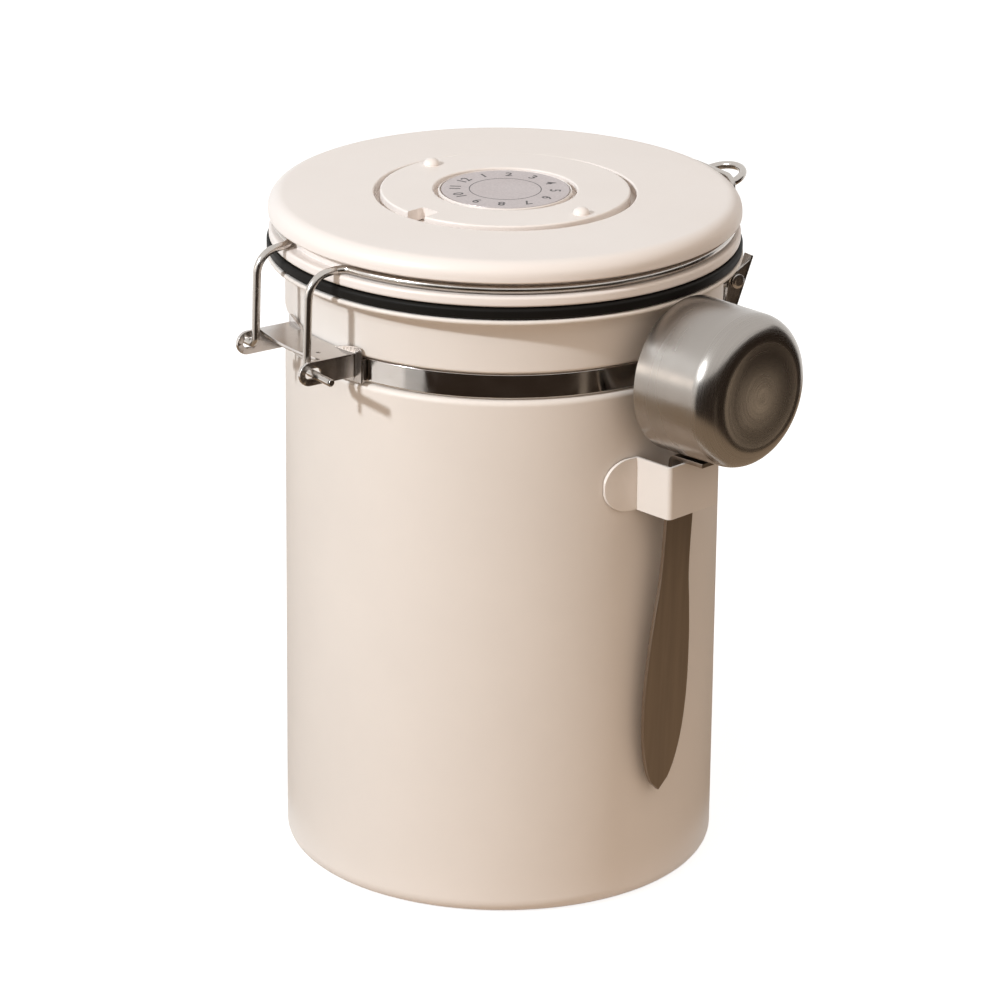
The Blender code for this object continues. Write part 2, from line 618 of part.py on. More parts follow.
def gasket():
    """The silicone ring: a flat part under the flange and a lip that reaches into the neck."""
    top = GASKET_Z + GASKET_HEIGHT
    bore = PLUG_R + SEAT_GAP
    step_r = BODY_INNER_R - GASKET_LIP_GAP
    outline = [(bore, GASKET_Z - GASKET_LIP_DROP), (step_r, GASKET_Z - GASKET_LIP_DROP), (step_r, GASKET_Z),
               (GASKET_R - GASKET_ROUND, GASKET_Z), (GASKET_R, GASKET_Z + GASKET_ROUND),
               (GASKET_R, top - GASKET_ROUND), (GASKET_R - GASKET_ROUND, top), (bore, top)]
    return turned(outline, BODY_STEPS)


def lid_base():
    """The inner lid: flange, wire groove, plug and a floor with the valve's and screws' holes."""
    lip_z = PLUG_Z + PLUG_LIP_HEIGHT
    inner = PLUG_R - PLUG_WALL
    shelf_z = FLANGE_Z + FLANGE_THICKNESS
    upper_round = (FLANGE_R - FLANGE_ROUND, FLANGE_TOP_Z - FLANGE_ROUND)
    lower_round = (FLANGE_R - FLANGE_ROUND, FLANGE_Z + FLANGE_ROUND)
    outline = [(VALVE_HOLE_R, FLOOR_TOP_Z), (VALVE_HOLE_R, PLUG_Z), (PLUG_R - PLUG_LIP, PLUG_Z),
               (PLUG_R + PLUG_LIP, PLUG_Z + PLUG_LIP_HEIGHT / 2), (PLUG_R + PLUG_LIP, lip_z), (PLUG_R, lip_z),
               (PLUG_R, FLANGE_Z)]
    outline += arc(lower_round, FLANGE_ROUND, -RIGHT_ANGLE, 0, FINE_STEPS)
    outline += arc(upper_round, FLANGE_ROUND, 0, RIGHT_ANGLE, FINE_STEPS)
    rim_r = GROOVE_R - RIM_WALL
    rim_z = COVER_Z - SEAT_GAP
    outline += [(GROOVE_R, FLANGE_TOP_Z), (GROOVE_R, rim_z), (rim_r, rim_z), (rim_r, shelf_z), (inner, shelf_z),
                (inner, FLOOR_TOP_Z)]
    drill = rod(SCREW_D + 2 * SEAT_GAP, (POST_RING_R, 0, PLUG_Z - OVERRUN),
                (POST_RING_R, 0, FLOOR_TOP_Z + OVERRUN), SCREW_STEPS)
    drills = [moved(drill.copy(), about_z(angle)) for angle in post_angles()]
    return combined("DIFFERENCE", turned(outline, BODY_STEPS), gathered(drills))


def post_angles():
    """Where the screw posts stand round the lid, in degrees."""
    return [POST_TURN + FULL_TURN * index / POST_COUNT for index in range(POST_COUNT)]


def lid_cover():
    """The top moulding: a bull-nosed shell with the dial's well and hollow screw posts."""
    skirt_r = GROOVE_R - RIM_WALL
    skin_z = COVER_TOP_Z - COVER_SKIN
    hub_hole_r = HUB_R + SEAT_GAP
    outline = [(hub_hole_r, WELL_UNDER_Z), (WELL_R + WELL_WALL, WELL_UNDER_Z), (WELL_R + WELL_WALL, skin_z),
               (skirt_r, skin_z), (skirt_r, COVER_Z)]
    foot = (COVER_R - COVER_FOOT_ROUND, COVER_Z + COVER_FOOT_ROUND)
    edge = (COVER_R - COVER_EDGE_R, COVER_TOP_Z - COVER_EDGE_R)
    outline += arc(foot, COVER_FOOT_ROUND, -RIGHT_ANGLE, 0, FINE_STEPS)
    outline += arc(edge, COVER_EDGE_R, 0, RIGHT_ANGLE, EDGE_STEPS)
    outline += [(WELL_R + DIAL_EDGE, COVER_TOP_Z), (WELL_R, COVER_TOP_Z - DIAL_EDGE), (WELL_R, WELL_FLOOR_Z),
                (hub_hole_r, WELL_FLOOR_Z)]
    top = skin_z + COVER_SKIN / 2
    post = rod(2 * POST_R, (POST_RING_R, 0, FLOOR_TOP_Z + SEAT_GAP), (POST_RING_R, 0, top), SCREW_STEPS)
    bore = rod(SCREW_D + 2 * SEAT_GAP, (POST_RING_R, 0, FLOOR_TOP_Z - OVERRUN),
               (POST_RING_R, 0, FLOOR_TOP_Z + SCREW_BITE + 2 * SEAT_GAP), SCREW_STEPS)
    posts = [moved(post.copy(), about_z(angle)) for angle in post_angles()]
    bores = [moved(bore.copy(), about_z(angle)) for angle in post_angles()]
    shell = combined("UNION", turned(outline, BODY_STEPS), gathered(posts))
    return combined("DIFFERENCE", shell, gathered(bores))


def lid_screw(angle):
    """A pan-head screw, up through the floor of the lid base into the post at that angle."""
    head_z = PLUG_Z - SEAT_GAP - SCREW_HEAD_HEIGHT
    outline = [(0, head_z), (SCREW_HEAD_D / 2 - SEAT_GAP, head_z), (SCREW_HEAD_D / 2, head_z + SEAT_GAP),
               (SCREW_HEAD_D / 2, PLUG_Z - SEAT_GAP), (SCREW_D / 2, PLUG_Z - SEAT_GAP),
               (SCREW_D / 2, FLOOR_TOP_Z + SCREW_BITE), (0, FLOOR_TOP_Z + SCREW_BITE)]
    return moved(turned(outline, SCREW_STEPS), about_z(angle) @ Matrix.Translation((POST_RING_R, 0, 0)))


def lid_wire():
    """One wire from hinge pin to hinge pin, round the lid's groove and out to the latch's tang."""

    def half_route(pin_length):
        """Corners of the half on the +X side, from the pin to the middle of the tang's end."""
        entry = math.asin(LEG_X / WIRE_RING_R)
        root = math.asin(TANG_X / WIRE_RING_R)
        first = math.asin((LEG_X + GROOVE_ENTRY_R) / WIRE_RING_R)
        last = math.pi - math.asin((TANG_X + TANG_ROOT_R) / WIRE_RING_R)
        corners = [(Vector((LEG_X + pin_length, HINGE_Y, HINGE_Z)), 0),
                   (Vector((LEG_X, HINGE_Y, HINGE_Z)), PIN_BEND_R),
                   (Vector((LEG_X, HINGE_Y, WIRE_Z)), ELBOW_R),
                   (Vector((LEG_X, WIRE_RING_R * math.cos(entry), WIRE_Z)), GROOVE_ENTRY_R)]
        for step in range(WIRE_RING_STEPS + 1):
            angle = first + (last - first) * step / WIRE_RING_STEPS
            place = Vector((math.sin(angle), math.cos(angle), 0)) * WIRE_RING_R
            corners.append((place + Vector((0, 0, WIRE_Z)), 0))
        corners.append((Vector((TANG_X, -WIRE_RING_R * math.cos(root), WIRE_Z)), TANG_ROOT_R))
        rise = math.radians(TANG_RISE)
        for step in range(TANG_STEPS + 1):
            across, ahead = polar(TANG_X, RIGHT_ANGLE * step / TANG_STEPS)
            out = TANG_KNEE_Y + ahead * math.cos(rise)
            corners.append((Vector((across, -out, WIRE_Z + ahead * math.sin(rise))), 0))
        return bent_route(corners)

    mirror = Matrix.Scale(-1, 3, (1, 0, 0))
    plus_side = half_route(SHORT_PIN)
    minus_side = [mirror @ point for point in half_route(LONG_PIN)]
    return wire(plus_side + minus_side[-2::-1], WIRE_D)


def date_dial():
    """The dial: a dished disc with a snap hub, two grip nubs and the date window."""
    hub_low = BARB_TOP_Z - HUB_BARB_HEIGHT
    step_z = BARB_TOP_Z + SEAT_GAP
    step_r = HUB_BORE_R + HUB_STEP
    edge_z = DIAL_TOP_Z - DIAL_EDGE
    outline = [(HUB_BORE_R, KNOB_WELL_Z), (KNOB_WELL_R, KNOB_WELL_Z), (KNOB_WELL_R, edge_z),
               (KNOB_WELL_R + DIAL_EDGE, DIAL_TOP_Z), (DIAL_R - DIAL_EDGE, DIAL_TOP_Z), (DIAL_R, edge_z),
               (DIAL_R, DIAL_Z), (HUB_R, DIAL_Z), (HUB_R, BARB_TOP_Z), (HUB_R + HUB_BARB, BARB_TOP_Z),
               (HUB_R, hub_low), (step_r, hub_low), (step_r, step_z), (HUB_BORE_R, step_z)]
    disc = turned(outline, DIAL_STEPS)
    nub_place = Matrix.Translation((0, DIAL_R - NUB_INSET, 0))
    dome = [(0, edge_z), (NUB_R, edge_z)]
    for step in range(ROUND_STEPS):
        across, up = polar(1, RIGHT_ANGLE * step / ROUND_STEPS)
        dome.append((NUB_R * across, DIAL_TOP_Z + NUB_HEIGHT * up))
    dome.append((0, DIAL_TOP_Z + NUB_HEIGHT))
    nub = moved(turned(dome, SCREW_STEPS), nub_place)
    nubs = [moved(nub.copy(), about_z(NUB_TURN + turn)) for turn in (0, HALF_TURN)]
    half = WINDOW_WIDTH / 2
    inner_end = DIAL_R - WINDOW_LENGTH
    corner = (half - WINDOW_CORNER_R, inner_end + WINDOW_CORNER_R)
    right = arc(corner, WINDOW_CORNER_R, -RIGHT_ANGLE, 0, FINE_STEPS) + [(half, DIAL_R + OVERRUN)]
    window = right + [(-x, y) for x, y in right[::-1]]
    cutter = plate([window], flat_plane(DIAL_Z - OVERRUN), DIAL_TOP_Z - DIAL_Z + 2 * OVERRUN)
    return combined("DIFFERENCE", combined("UNION", disc, gathered(nubs)), moved(cutter, about_z(WINDOW_TURN)))


def month_knob():
    """The knob in the dial's middle, with a snap stem and a shallow seat for its plate."""
    top = KNOB_Z + KNOB_THICKNESS
    barb_top = BARB_TOP_Z
    barb_low = barb_top - STEM_BARB_HEIGHT
    seat_r = PLATE_R + SEAT_GAP
    outline = [(0, barb_low), (STEM_R, barb_low), (STEM_R + STEM_BARB, barb_top - SEAT_GAP),
               (STEM_R + STEM_BARB, barb_top), (STEM_R, barb_top), (STEM_R, KNOB_Z), (KNOB_R, KNOB_Z),
               (KNOB_R, top - KNOB_EDGE), (KNOB_R - KNOB_EDGE, top), (seat_r, top), (seat_r, PLATE_SEAT_Z),
               (0, PLATE_SEAT_Z)]
    return turned(outline, DIAL_STEPS)


def month_plate():
    """The thin printed disc in the knob's seat."""
    low = PLATE_SEAT_Z + SEAT_GAP
    top = low + PLATE_THICKNESS
    return turned([(0, low), (PLATE_R, low), (PLATE_R, top), (0, top)], DIAL_STEPS)


def hole_ring(radius, ring_r, count, low, high):
    """Cutters for a ring of round holes through a disc between two heights."""
    cutter = rod(2 * radius, (ring_r, 0, low - OVERRUN), (ring_r, 0, high + OVERRUN), SCREW_STEPS)
    return gathered([moved(cutter.copy(), about_z(FULL_TURN * index / count)) for index in range(count)])


def valve_body():
    """The valve's cup: a flange under the floor, a tube through it and a vented seat inside."""
    rim_r = VALVE_R + VALVE_FLANGE
    rim_z = VALVE_Z + VALVE_FLANGE_HEIGHT
    outline = [(VALVE_STEM_BORE_R, VALVE_SEAT_Z), (VALVE_BORE_R, VALVE_SEAT_Z), (VALVE_BORE_R, VALVE_Z),
               (rim_r, VALVE_Z), (rim_r, rim_z), (VALVE_R, rim_z), (VALVE_R, VALVE_TOP_Z), (VALVE_BORE_R, VALVE_TOP_Z),
               (VALVE_BORE_R, VALVE_SEAT_TOP_Z), (VALVE_STEM_BORE_R, VALVE_SEAT_TOP_Z)]
    vents = hole_ring(VENT_R, VENT_RING_R, VENT_COUNT, VALVE_SEAT_Z, VALVE_SEAT_TOP_Z)
    return combined("DIFFERENCE", turned(outline, SMALL_STEPS), vents)


def valve_disc():
    """The silicone flap, held by the knob on its stem under the seat."""
    low = VALVE_SEAT_TOP_Z + SEAT_GAP
    barb_z = VALVE_SEAT_Z - SEAT_GAP
    flap_r = VALVE_BORE_R - FLAP_MARGIN
    outline = [(0, barb_z - FLAP_BARB_HEIGHT), (FLAP_STEM_R, barb_z - FLAP_BARB_HEIGHT),
               (FLAP_STEM_R + FLAP_BARB, barb_z), (FLAP_STEM_R, barb_z), (FLAP_STEM_R, low), (flap_r, low),
               (flap_r, low + FLAP_THICKNESS), (0, low + FLAP_THICKNESS)]
    return turned(outline, SMALL_STEPS)


def valve_nut():
    """The ring that holds the valve's tube above the floor."""
    low = FLOOR_TOP_Z + SEAT_GAP
    bore = VALVE_R + SEAT_GAP
    edge, top = bore + NUT_WIDTH, low + NUT_HEIGHT
    return turned([(bore, low), (edge, low), (edge, top), (bore, top)], SMALL_STEPS)


def valve_filter():
    """The perforated disc at the valve's mouth."""
    disc_r = VALVE_BORE_R - SEAT_GAP
    ring_r = VALVE_BORE_R - FILTER_HOLE_INSET
    low = VALVE_Z + SEAT_GAP
    top = low + FILTER_THICKNESS
    disc = turned([(0, low), (disc_r, low), (disc_r, top), (0, top)], SMALL_STEPS)
    return combined("DIFFERENCE", disc, hole_ring(FILTER_HOLE_R, ring_r, FILTER_HOLE_COUNT, low, top))


def lever_frame():
    """The lever's slope: a point on its inner face beside the pivot, and the way down and out."""
    tilt = math.radians(LEVER_TILT)
    down = Vector((-math.sin(tilt), -math.cos(tilt)))
    out = Vector((math.cos(tilt), -math.sin(tilt)))
    return Vector((LEVER_Y, LEVER_Z)) + out * LEVER_OFFSET, down, out


def latch_lever():
    """The pressed lever: a plate with a turned-out lip, forked above for the bail, and two cheeks."""
    foot, down, out = lever_frame()
    corners = [(foot - down * LEVER_TOP, 0), (foot + down * LEVER_SLOPE_LENGTH, LEVER_BEND_R),
               (Vector(LEVER_WAIST), 2 * LEVER_BEND_R), (Vector(LEVER_HEEL), LEVER_BEND_R), (Vector(LEVER_LIP), 0)]
    inner = [point.yz for point in bent_route([(Vector((0, *point)), radius) for point, radius in corners])]
    outer = []
    for index, point in enumerate(inner):
        run = inner[min(index + 1, len(inner) - 1)] - inner[max(index - 1, 0)]
        outer.append(point + Vector((-run.y, run.x)).normalized() * LEVER_WALL)
    sheet = plate([[tuple(point) for point in inner + outer[::-1]]], side_plane(-LEVER_X), 2 * LEVER_X)
    high = foot.y + LEVER_TOP + OVERRUN
    corner = (LEVER_X - LEVER_TAPER - LEVER_CORNER_R, LEVER_LIP[1] + LEVER_CORNER_R)
    right = [(LEVER_X + OVERRUN, high), (LEVER_X + OVERRUN, LEVER_WAIST[1]), (LEVER_X, LEVER_WAIST[1]),
             *arc(corner, LEVER_CORNER_R, 0, -RIGHT_ANGLE)]
    taper = right + [(-x, z) for x, z in right[::-1]]
    keep = punch(taper, LEVER_HEEL[0], foot.x + LEVER_TOP)
    fork_x = BAIL_X + BAIL_D / 2 + LEVER_FORK_GAP
    fork_corner = (fork_x - LEVER_FORK_R, BAIL_Z - LEVER_FORK_DEPTH + LEVER_FORK_R)
    side = arc(fork_corner, LEVER_FORK_R, -RIGHT_ANGLE, 0) + [(fork_x, high)]
    fork = punch(side + [(-x, z) for x, z in side[::-1]], LEVER_HEEL[0], foot.x + LEVER_TOP)
    blank = combined("DIFFERENCE", combined("INTERSECT", sheet, keep), fork)
    middle = LEVER_WALL / 2
    pivot, link = (LEVER_Y, LEVER_Z), (BAIL_Y, BAIL_Z)
    cheek = [tuple(foot - down * (LEVER_TOP - LEVER_WALL) + out * middle),
             *arc(pivot, LATCH_EAR_R, RIGHT_ANGLE, HALF_TURN),
             *arc(link, CHEEK_MARGIN, HALF_TURN, FULL_TURN - RIGHT_ANGLE / 2),
             tuple(foot + down * LEVER_SLOPE_LENGTH + out * middle)]
    rivet_hole = arc(pivot, RIVET_D / 2 + SEAT_GAP, 0, FULL_TURN, SCREW_STEPS)[:-1]
    bail_hole = arc(link, BAIL_D / 2 + SEAT_GAP, 0, FULL_TURN, SCREW_STEPS)[:-1]
    sides = (-LEVER_X, LEVER_X - LEVER_WALL)
    cheeks = [plate([cheek, rivet_hole, bail_hole], side_plane(x), LEVER_WALL) for x in sides]
    return moved(combined("UNION", blank, *cheeks), about_z(HALF_TURN))


def lever_rivet(side):
    """A short headed rivet at one side, through the lever's cheek and the bracket's ear."""
    inner_x = LATCH_EAR_X - EAR_THICKNESS / 2 - SEAT_GAP
    head_x = LEVER_X + SEAT_GAP
    end_x = head_x + RIVET_HEAD_HEIGHT
    ends = [(side * x, -LEVER_Y, LEVER_Z) for x in (inner_x, head_x, end_x)]
    shank = rod(RIVET_D, ends[0], ends[2], SCREW_STEPS)
    return combined("UNION", shank, rod(RIVET_HEAD_D, ends[1], ends[2], SCREW_STEPS))


def latch_bail():
    """The wire link from the lever's cheeks up over the lid's tang."""
    end_x = LEVER_X + BAIL_END_PROUD
    corners = []
    for side in (1, -1):
        half = [(Vector((side * end_x, BAIL_Y, BAIL_Z)), 0),
                (Vector((side * BAIL_X, BAIL_Y, BAIL_Z)), BAIL_FOOT_BEND_R),
                (Vector((side * BAIL_X, BAIL_BAR_Y, BAIL_BAR_Z)), BAIL_BEND_R)]
        corners += half if side == 1 else half[::-1]
    route = [about_z(HALF_TURN) @ point for point in bent_route(corners)]
    return wire(route, BAIL_D)


def scoop_cup():
    """The pressed cup, its mouth towards the can and its far end rounded into the wall."""
    end_r = CUP_R - CUP_TAPER
    outer_corner = (end_r - CUP_CORNER_R, CUP_DEPTH - CUP_CORNER_R)
    outline = [(CUP_R, 0), *arc(outer_corner, CUP_CORNER_R, 0, RIGHT_ANGLE, CUP_CORNER_STEPS), (0, CUP_DEPTH),
               (0, CUP_DEPTH - CUP_WALL)]
    outline += arc(outer_corner, CUP_CORNER_R - CUP_WALL, RIGHT_ANGLE, 0, CUP_CORNER_STEPS)
    outline += [(CUP_R - CUP_WALL, 0)]
    shell = turned(cup_order(outline), CUP_STEPS)
    lie_down = Matrix.Rotation(math.radians(-RIGHT_ANGLE), 4, "X")
    place = about_z(SCOOP_TURN) @ Matrix.Translation((0, CUP_MOUTH_Y, CUP_Z))
    return moved(shell, place @ lie_down)


def cup_order(outline):
    """An outline that crosses the axis, started at the axis so that it can be spun."""
    cut = next(index for index, point in enumerate(outline) if point[0] == 0) + 1
    return outline[cut:] + outline[:cut]


def scoop_handle():
    """The leaf-shaped blade, bent at its top into a tab that is welded under the cup."""
    top = Vector((HANDLE_TOP_Y, HANDLE_BEND_Z))
    tip = Vector(HANDLE_TIP)
    along = tip - top
    across = Vector((along.y, -along.x)).normalized() * -HANDLE_THICKNESS
    bend = (HANDLE_TOP_Y + HANDLE_BEND_R, HANDLE_BEND_Z)
    bend_outer = arc(bend, HANDLE_BEND_R, HALF_TURN, RIGHT_ANGLE)
    bend_inner = arc(bend, HANDLE_BEND_R - HANDLE_THICKNESS, RIGHT_ANGLE, HALF_TURN)
    tab_end = HANDLE_TOP_Y + HANDLE_TAB
    profile = [tuple(tip), *bend_outer, (tab_end, TAB_TOP_Z), (tab_end, TAB_TOP_Z - HANDLE_THICKNESS),
               *bend_inner, tuple(tip + across)]
    strip = plate([profile], side_plane(-HANDLE_LEAF_X), 2 * HANDLE_LEAF_X)
    drop = HANDLE_BEND_Z - tip.y
    right = [(HANDLE_LEAF_X * HANDLE_LEAF_SHARES[0][1], TAB_TOP_Z + OVERRUN)]
    right += [(HANDLE_LEAF_X * width, HANDLE_BEND_Z - drop * share) for share, width in HANDLE_LEAF_SHARES]
    leaf = right + [(0, tip.y)] + [(-x, z) for x, z in right[::-1]]
    keep = punch(leaf, tip.x, tab_end)
    return moved(combined("INTERSECT", strip, keep), about_z(SCOOP_TURN))


def finish(name):
    """The named finish as a material, made once."""
    material = bpy.data.materials.get(name)
    if material is None:
        colour, roughness, metallic = FINISHES[name]
        material = bpy.data.materials.new(name)
        material.use_nodes = True
        shader = material.node_tree.nodes["Principled BSDF"]
        shader.inputs["Base Color"].default_value = (*colour, 1)
        shader.inputs["Roughness"].default_value = roughness
        shader.inputs["Metallic"].default_value = metallic
    return material


def carrier(name, place, parent=None):
    """An empty on a joint's axis, for the pieces that move there."""
    empty = bpy.data.objects.new(name, None)
    bpy.context.scene.collection.objects.link(empty)
    empty.location = Vector(place) - (world_place(parent) if parent else Vector())
    empty.parent = parent
    return empty


def world_place(empty):
    """Where an empty stands, with its parents' places added up."""
    place = empty.location.copy()
    if empty.parent:
        place += world_place(empty.parent)
    return place


def add_piece(name, shape, finish_name, held_by):
    """Puts a shape made in the can's frame into the scene, with its origin on its carrier."""
    shape.name = name
    shape.transform(Matrix.Translation(-world_place(held_by)))
    piece = bpy.data.objects.new(name, shape)
    bpy.context.scene.collection.objects.link(piece)
    piece.parent = held_by
    shape.materials.clear()
    shape.materials.append(finish(finish_name))
    if piece.type == "MESH":
        shape.shade_smooth()
        shape.set_sharp_from_angle(angle=math.radians(SMOOTH_ANGLE))


def main():
    """Clears the scene and builds the canister, one object for each piece."""
    for item in list(bpy.data.objects):
        bpy.data.objects.remove(item)

    can = carrier("can_frame", (0, 0, 0))
    lid = carrier("lid_hinge_axis", (0, HINGE_Y, HINGE_Z), can)
    dial = carrier("dial_axis", (0, 0, DIAL_Z), lid)
    knob = carrier("knob_axis", (0, 0, KNOB_Z), dial)
    lever = carrier("lever_axis", (0, -LEVER_Y, LEVER_Z), can)
    bail = carrier("bail_axis", (0, -BAIL_Y, BAIL_Z), lever)
    scoop = carrier("scoop_seat", about_z(SCOOP_TURN) @ Vector((0, HANDLE_TOP_Y, CLIP_TOP_Z)), can)

    add_piece("can_body", can_body(), "can_coat", can)
    add_piece("neck_band", neck_band(), "bright_steel", can)
    add_piece("hinge_bracket", hinge_bracket(), "bright_steel", can)
    add_piece("latch_bracket", latch_bracket(), "bright_steel", can)
    for name, side in (("lever_rivet_left", -1), ("lever_rivet_right", 1)):
        add_piece(name, lever_rivet(side), "bright_steel", can)
    add_piece("scoop_clip", scoop_clip(), "can_coat", can)

    add_piece("lid_cover", lid_cover(), "lid_plastic", lid)
    add_piece("lid_base", lid_base(), "lid_plastic", lid)
    for number, angle in enumerate(post_angles(), 1):
        add_piece(f"lid_screw_{number}", lid_screw(angle), "bright_steel", lid)
    add_piece("gasket", gasket(), "silicone", lid)
    add_piece("lid_wire", lid_wire(), "bright_steel", lid)
    add_piece("valve_body", valve_body(), "lid_plastic", lid)
    add_piece("valve_nut", valve_nut(), "lid_plastic", lid)
    add_piece("valve_disc", valve_disc(), "clear_silicone", lid)
    add_piece("valve_filter", valve_filter(), "lid_plastic", lid)

    add_piece("date_dial", date_dial(), "lid_plastic", dial)
    add_piece("month_knob", month_knob(), "lid_plastic", knob)
    add_piece("month_plate", month_plate(), "printed_metal", knob)

    add_piece("latch_lever", latch_lever(), "bright_steel", lever)
    add_piece("latch_bail", latch_bail(), "bright_steel", bail)

    add_piece("scoop_cup", scoop_cup(), "brushed_steel", scoop)
    add_piece("scoop_handle", scoop_handle(), "brushed_steel", scoop)


main()
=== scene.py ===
"""Dresses the coffee canister: its finishes, fine shapes, studio light and camera.

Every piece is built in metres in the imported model's frame. The can stands on z = 0 with its axis on Z,
the lid's hinge is on the +Y side and its latch on the -Y side. What sits on the side is modelled as if
it were on the +Y side and is then turned about Z to its own place.
"""

from __future__ import annotations

import json
import logging
import math
from dataclasses import dataclass
from enum import Enum
from typing import Any, Mapping, Sequence

import bmesh
import bpy
from mathutils import Euler, Matrix, Vector

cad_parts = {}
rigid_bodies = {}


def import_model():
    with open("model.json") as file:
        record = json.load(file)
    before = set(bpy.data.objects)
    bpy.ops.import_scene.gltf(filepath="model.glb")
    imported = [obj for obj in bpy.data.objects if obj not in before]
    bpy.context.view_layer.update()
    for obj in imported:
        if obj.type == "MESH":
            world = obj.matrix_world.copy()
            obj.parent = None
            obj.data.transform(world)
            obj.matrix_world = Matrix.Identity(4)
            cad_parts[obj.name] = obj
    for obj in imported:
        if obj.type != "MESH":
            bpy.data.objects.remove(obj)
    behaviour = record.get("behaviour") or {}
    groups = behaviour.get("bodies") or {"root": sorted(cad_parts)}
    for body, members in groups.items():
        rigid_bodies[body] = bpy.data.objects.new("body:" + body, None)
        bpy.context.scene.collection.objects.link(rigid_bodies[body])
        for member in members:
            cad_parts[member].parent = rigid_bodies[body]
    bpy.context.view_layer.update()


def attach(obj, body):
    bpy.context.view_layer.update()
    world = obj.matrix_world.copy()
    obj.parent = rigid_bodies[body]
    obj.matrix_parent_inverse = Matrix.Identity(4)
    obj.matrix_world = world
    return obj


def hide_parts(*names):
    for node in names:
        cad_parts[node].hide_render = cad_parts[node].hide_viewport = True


LOG = logging.getLogger("coffee_canister")

Point = tuple[float, float]
Corner = tuple[float, float, float]
Colour = tuple[float, float, float]

MM = 0.001
FULL_TURN = 360.0
HALF_TURN = 180.0
QUARTER_TURN = 90.0
SEAT_GAP = 0.3 * MM
OVERRUN = 2.0 * MM
WELD = 0.002 * MM
SUPPORT = 0.35 * MM
SHARP_ANGLE = 40.0

# Faces round a full turn, or along a strip, from the can's wall down to the smallest bores
CAN_STEPS = 192
DIAL_STEPS = 160
KNOB_STEPS = 128
RING_STEPS = 96
FLAP_STEPS = 64
NUB_STEPS = 48
SCREW_STEPS = 40
ROD_STEPS = 32
BORE_STEPS = 28
HOLE_STEPS = 24
WIRE_SIDES = 20

# Print: how thick the ink lies, how far above the surface it starts and how much type is fattened
INK_TOP = 0.012 * MM
INK_FOOT = 0.002 * MM
TYPE_DEPTH = 0.01 * MM
TYPE_WEIGHT = 0.012

# The share of a wire's thickness over which its ends are broken
BROKEN_SHARE = 0.14

WHITE = (1.0, 1.0, 1.0, 1.0)
BLACK = (0.0, 0.0, 0.0, 1.0)


class Body(Enum):
    """The bodies that move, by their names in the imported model."""

    CAN = "can"
    LID = "lid"
    DIAL = "dial"
    KNOB = "knob"
    LEVER = "lever"
    BAIL = "bail"
    SCOOP = "scoop"


class Slot(Enum):
    """The record's material slots."""

    CAN_COAT = "can_coat"
    LID_PLASTIC = "lid_plastic"
    SILICONE = "silicone"
    CLEAR_SILICONE = "clear_silicone"
    BRIGHT_STEEL = "bright_steel"
    BRUSHED_STEEL = "brushed_steel"
    PRINTED_METAL = "printed_metal"


class Join(Enum):
    """How two solids are put together."""

    UNION = "UNION"
    CUT = "DIFFERENCE"
    KEEP = "INTERSECT"


class Grain(Enum):
    """Which way the brush lines of a finish run."""

    ROUND_THE_AXIS = "uv"
    ALONG_Z = "object"


# Outlines


def polar(radius: float, angle: float) -> Point:
    """Gives the point at a radius and an angle in degrees.

    Args:
        radius: Distance from the centre.
        angle: Angle from the first axis towards the second.

    Returns:
        The two coordinates.
    """
    return radius * math.cos(math.radians(angle)), radius * math.sin(math.radians(angle))


def arc(centre: Point, radius: float, start: float, end: float, steps: int) -> list[Point]:
    """Lists the points of a circular arc.

    Args:
        centre: Middle of the circle.
        radius: Its radius.
        start: First angle in degrees.
        end: Last angle in degrees.
        steps: Straight stretches along the arc.

    Returns:
        The points, both ends included.
    """
    points = []
    for step in range(steps + 1):
        u, v = polar(radius, start + (end - start) * step / steps)
        points.append((centre[0] + u, centre[1] + v))
    return points


def rounded(corners: Sequence[Corner], steps: int = 6) -> list[Point]:
    """Rounds the corners of an outline and holds the flats beside them with close points.

    Args:
        corners: Points as (u, v, fillet radius); a radius of zero leaves the point as it is.
        steps: Straight stretches in a quarter turn.

    Returns:
        The finished outline.
    """
    places = [Vector(corner[:2]) for corner in corners]
    count = len(corners)
    backs = []
    for index, corner in enumerate(corners):
        before = places[index - 1] - places[index]
        after = places[(index + 1) % count] - places[index]
        backs.append(corner[2] / math.tan(before.angle(after) / 2) if corner[2] else 0.0)
    outline: list[Point] = []
    for index, corner in enumerate(corners):
        here, radius = places[index], corner[2]
        if radius == 0:
            outline.append(tuple(here))
            continue
        before = places[index - 1] - here
        after = places[(index + 1) % count] - here
        half = before.angle(after) / 2
        middle = here + (before.normalized() + after.normalized()).normalized() * (radius / math.sin(half))
        start = here + before.normalized() * backs[index] - middle
        end = here + after.normalized() * backs[index] - middle
        sweep = math.atan2(start.x * end.y - start.y * end.x, start.dot(end))
        stretches = max(2, math.ceil(abs(math.degrees(sweep)) / QUARTER_TURN * steps))
        if before.length - backs[index] - backs[index - 1] > 2 * SUPPORT:
            outline.append(tuple(middle + start + before.normalized() * SUPPORT))
        for step in range(stretches + 1):
            turn = Matrix.Rotation(sweep * step / stretches, 2)
            outline.append(tuple(middle + turn @ start))
        if after.length - backs[index] - backs[(index + 1) % count] > 2 * SUPPORT:
            outline.append(tuple(middle + end + after.normalized() * SUPPORT))
    return outline


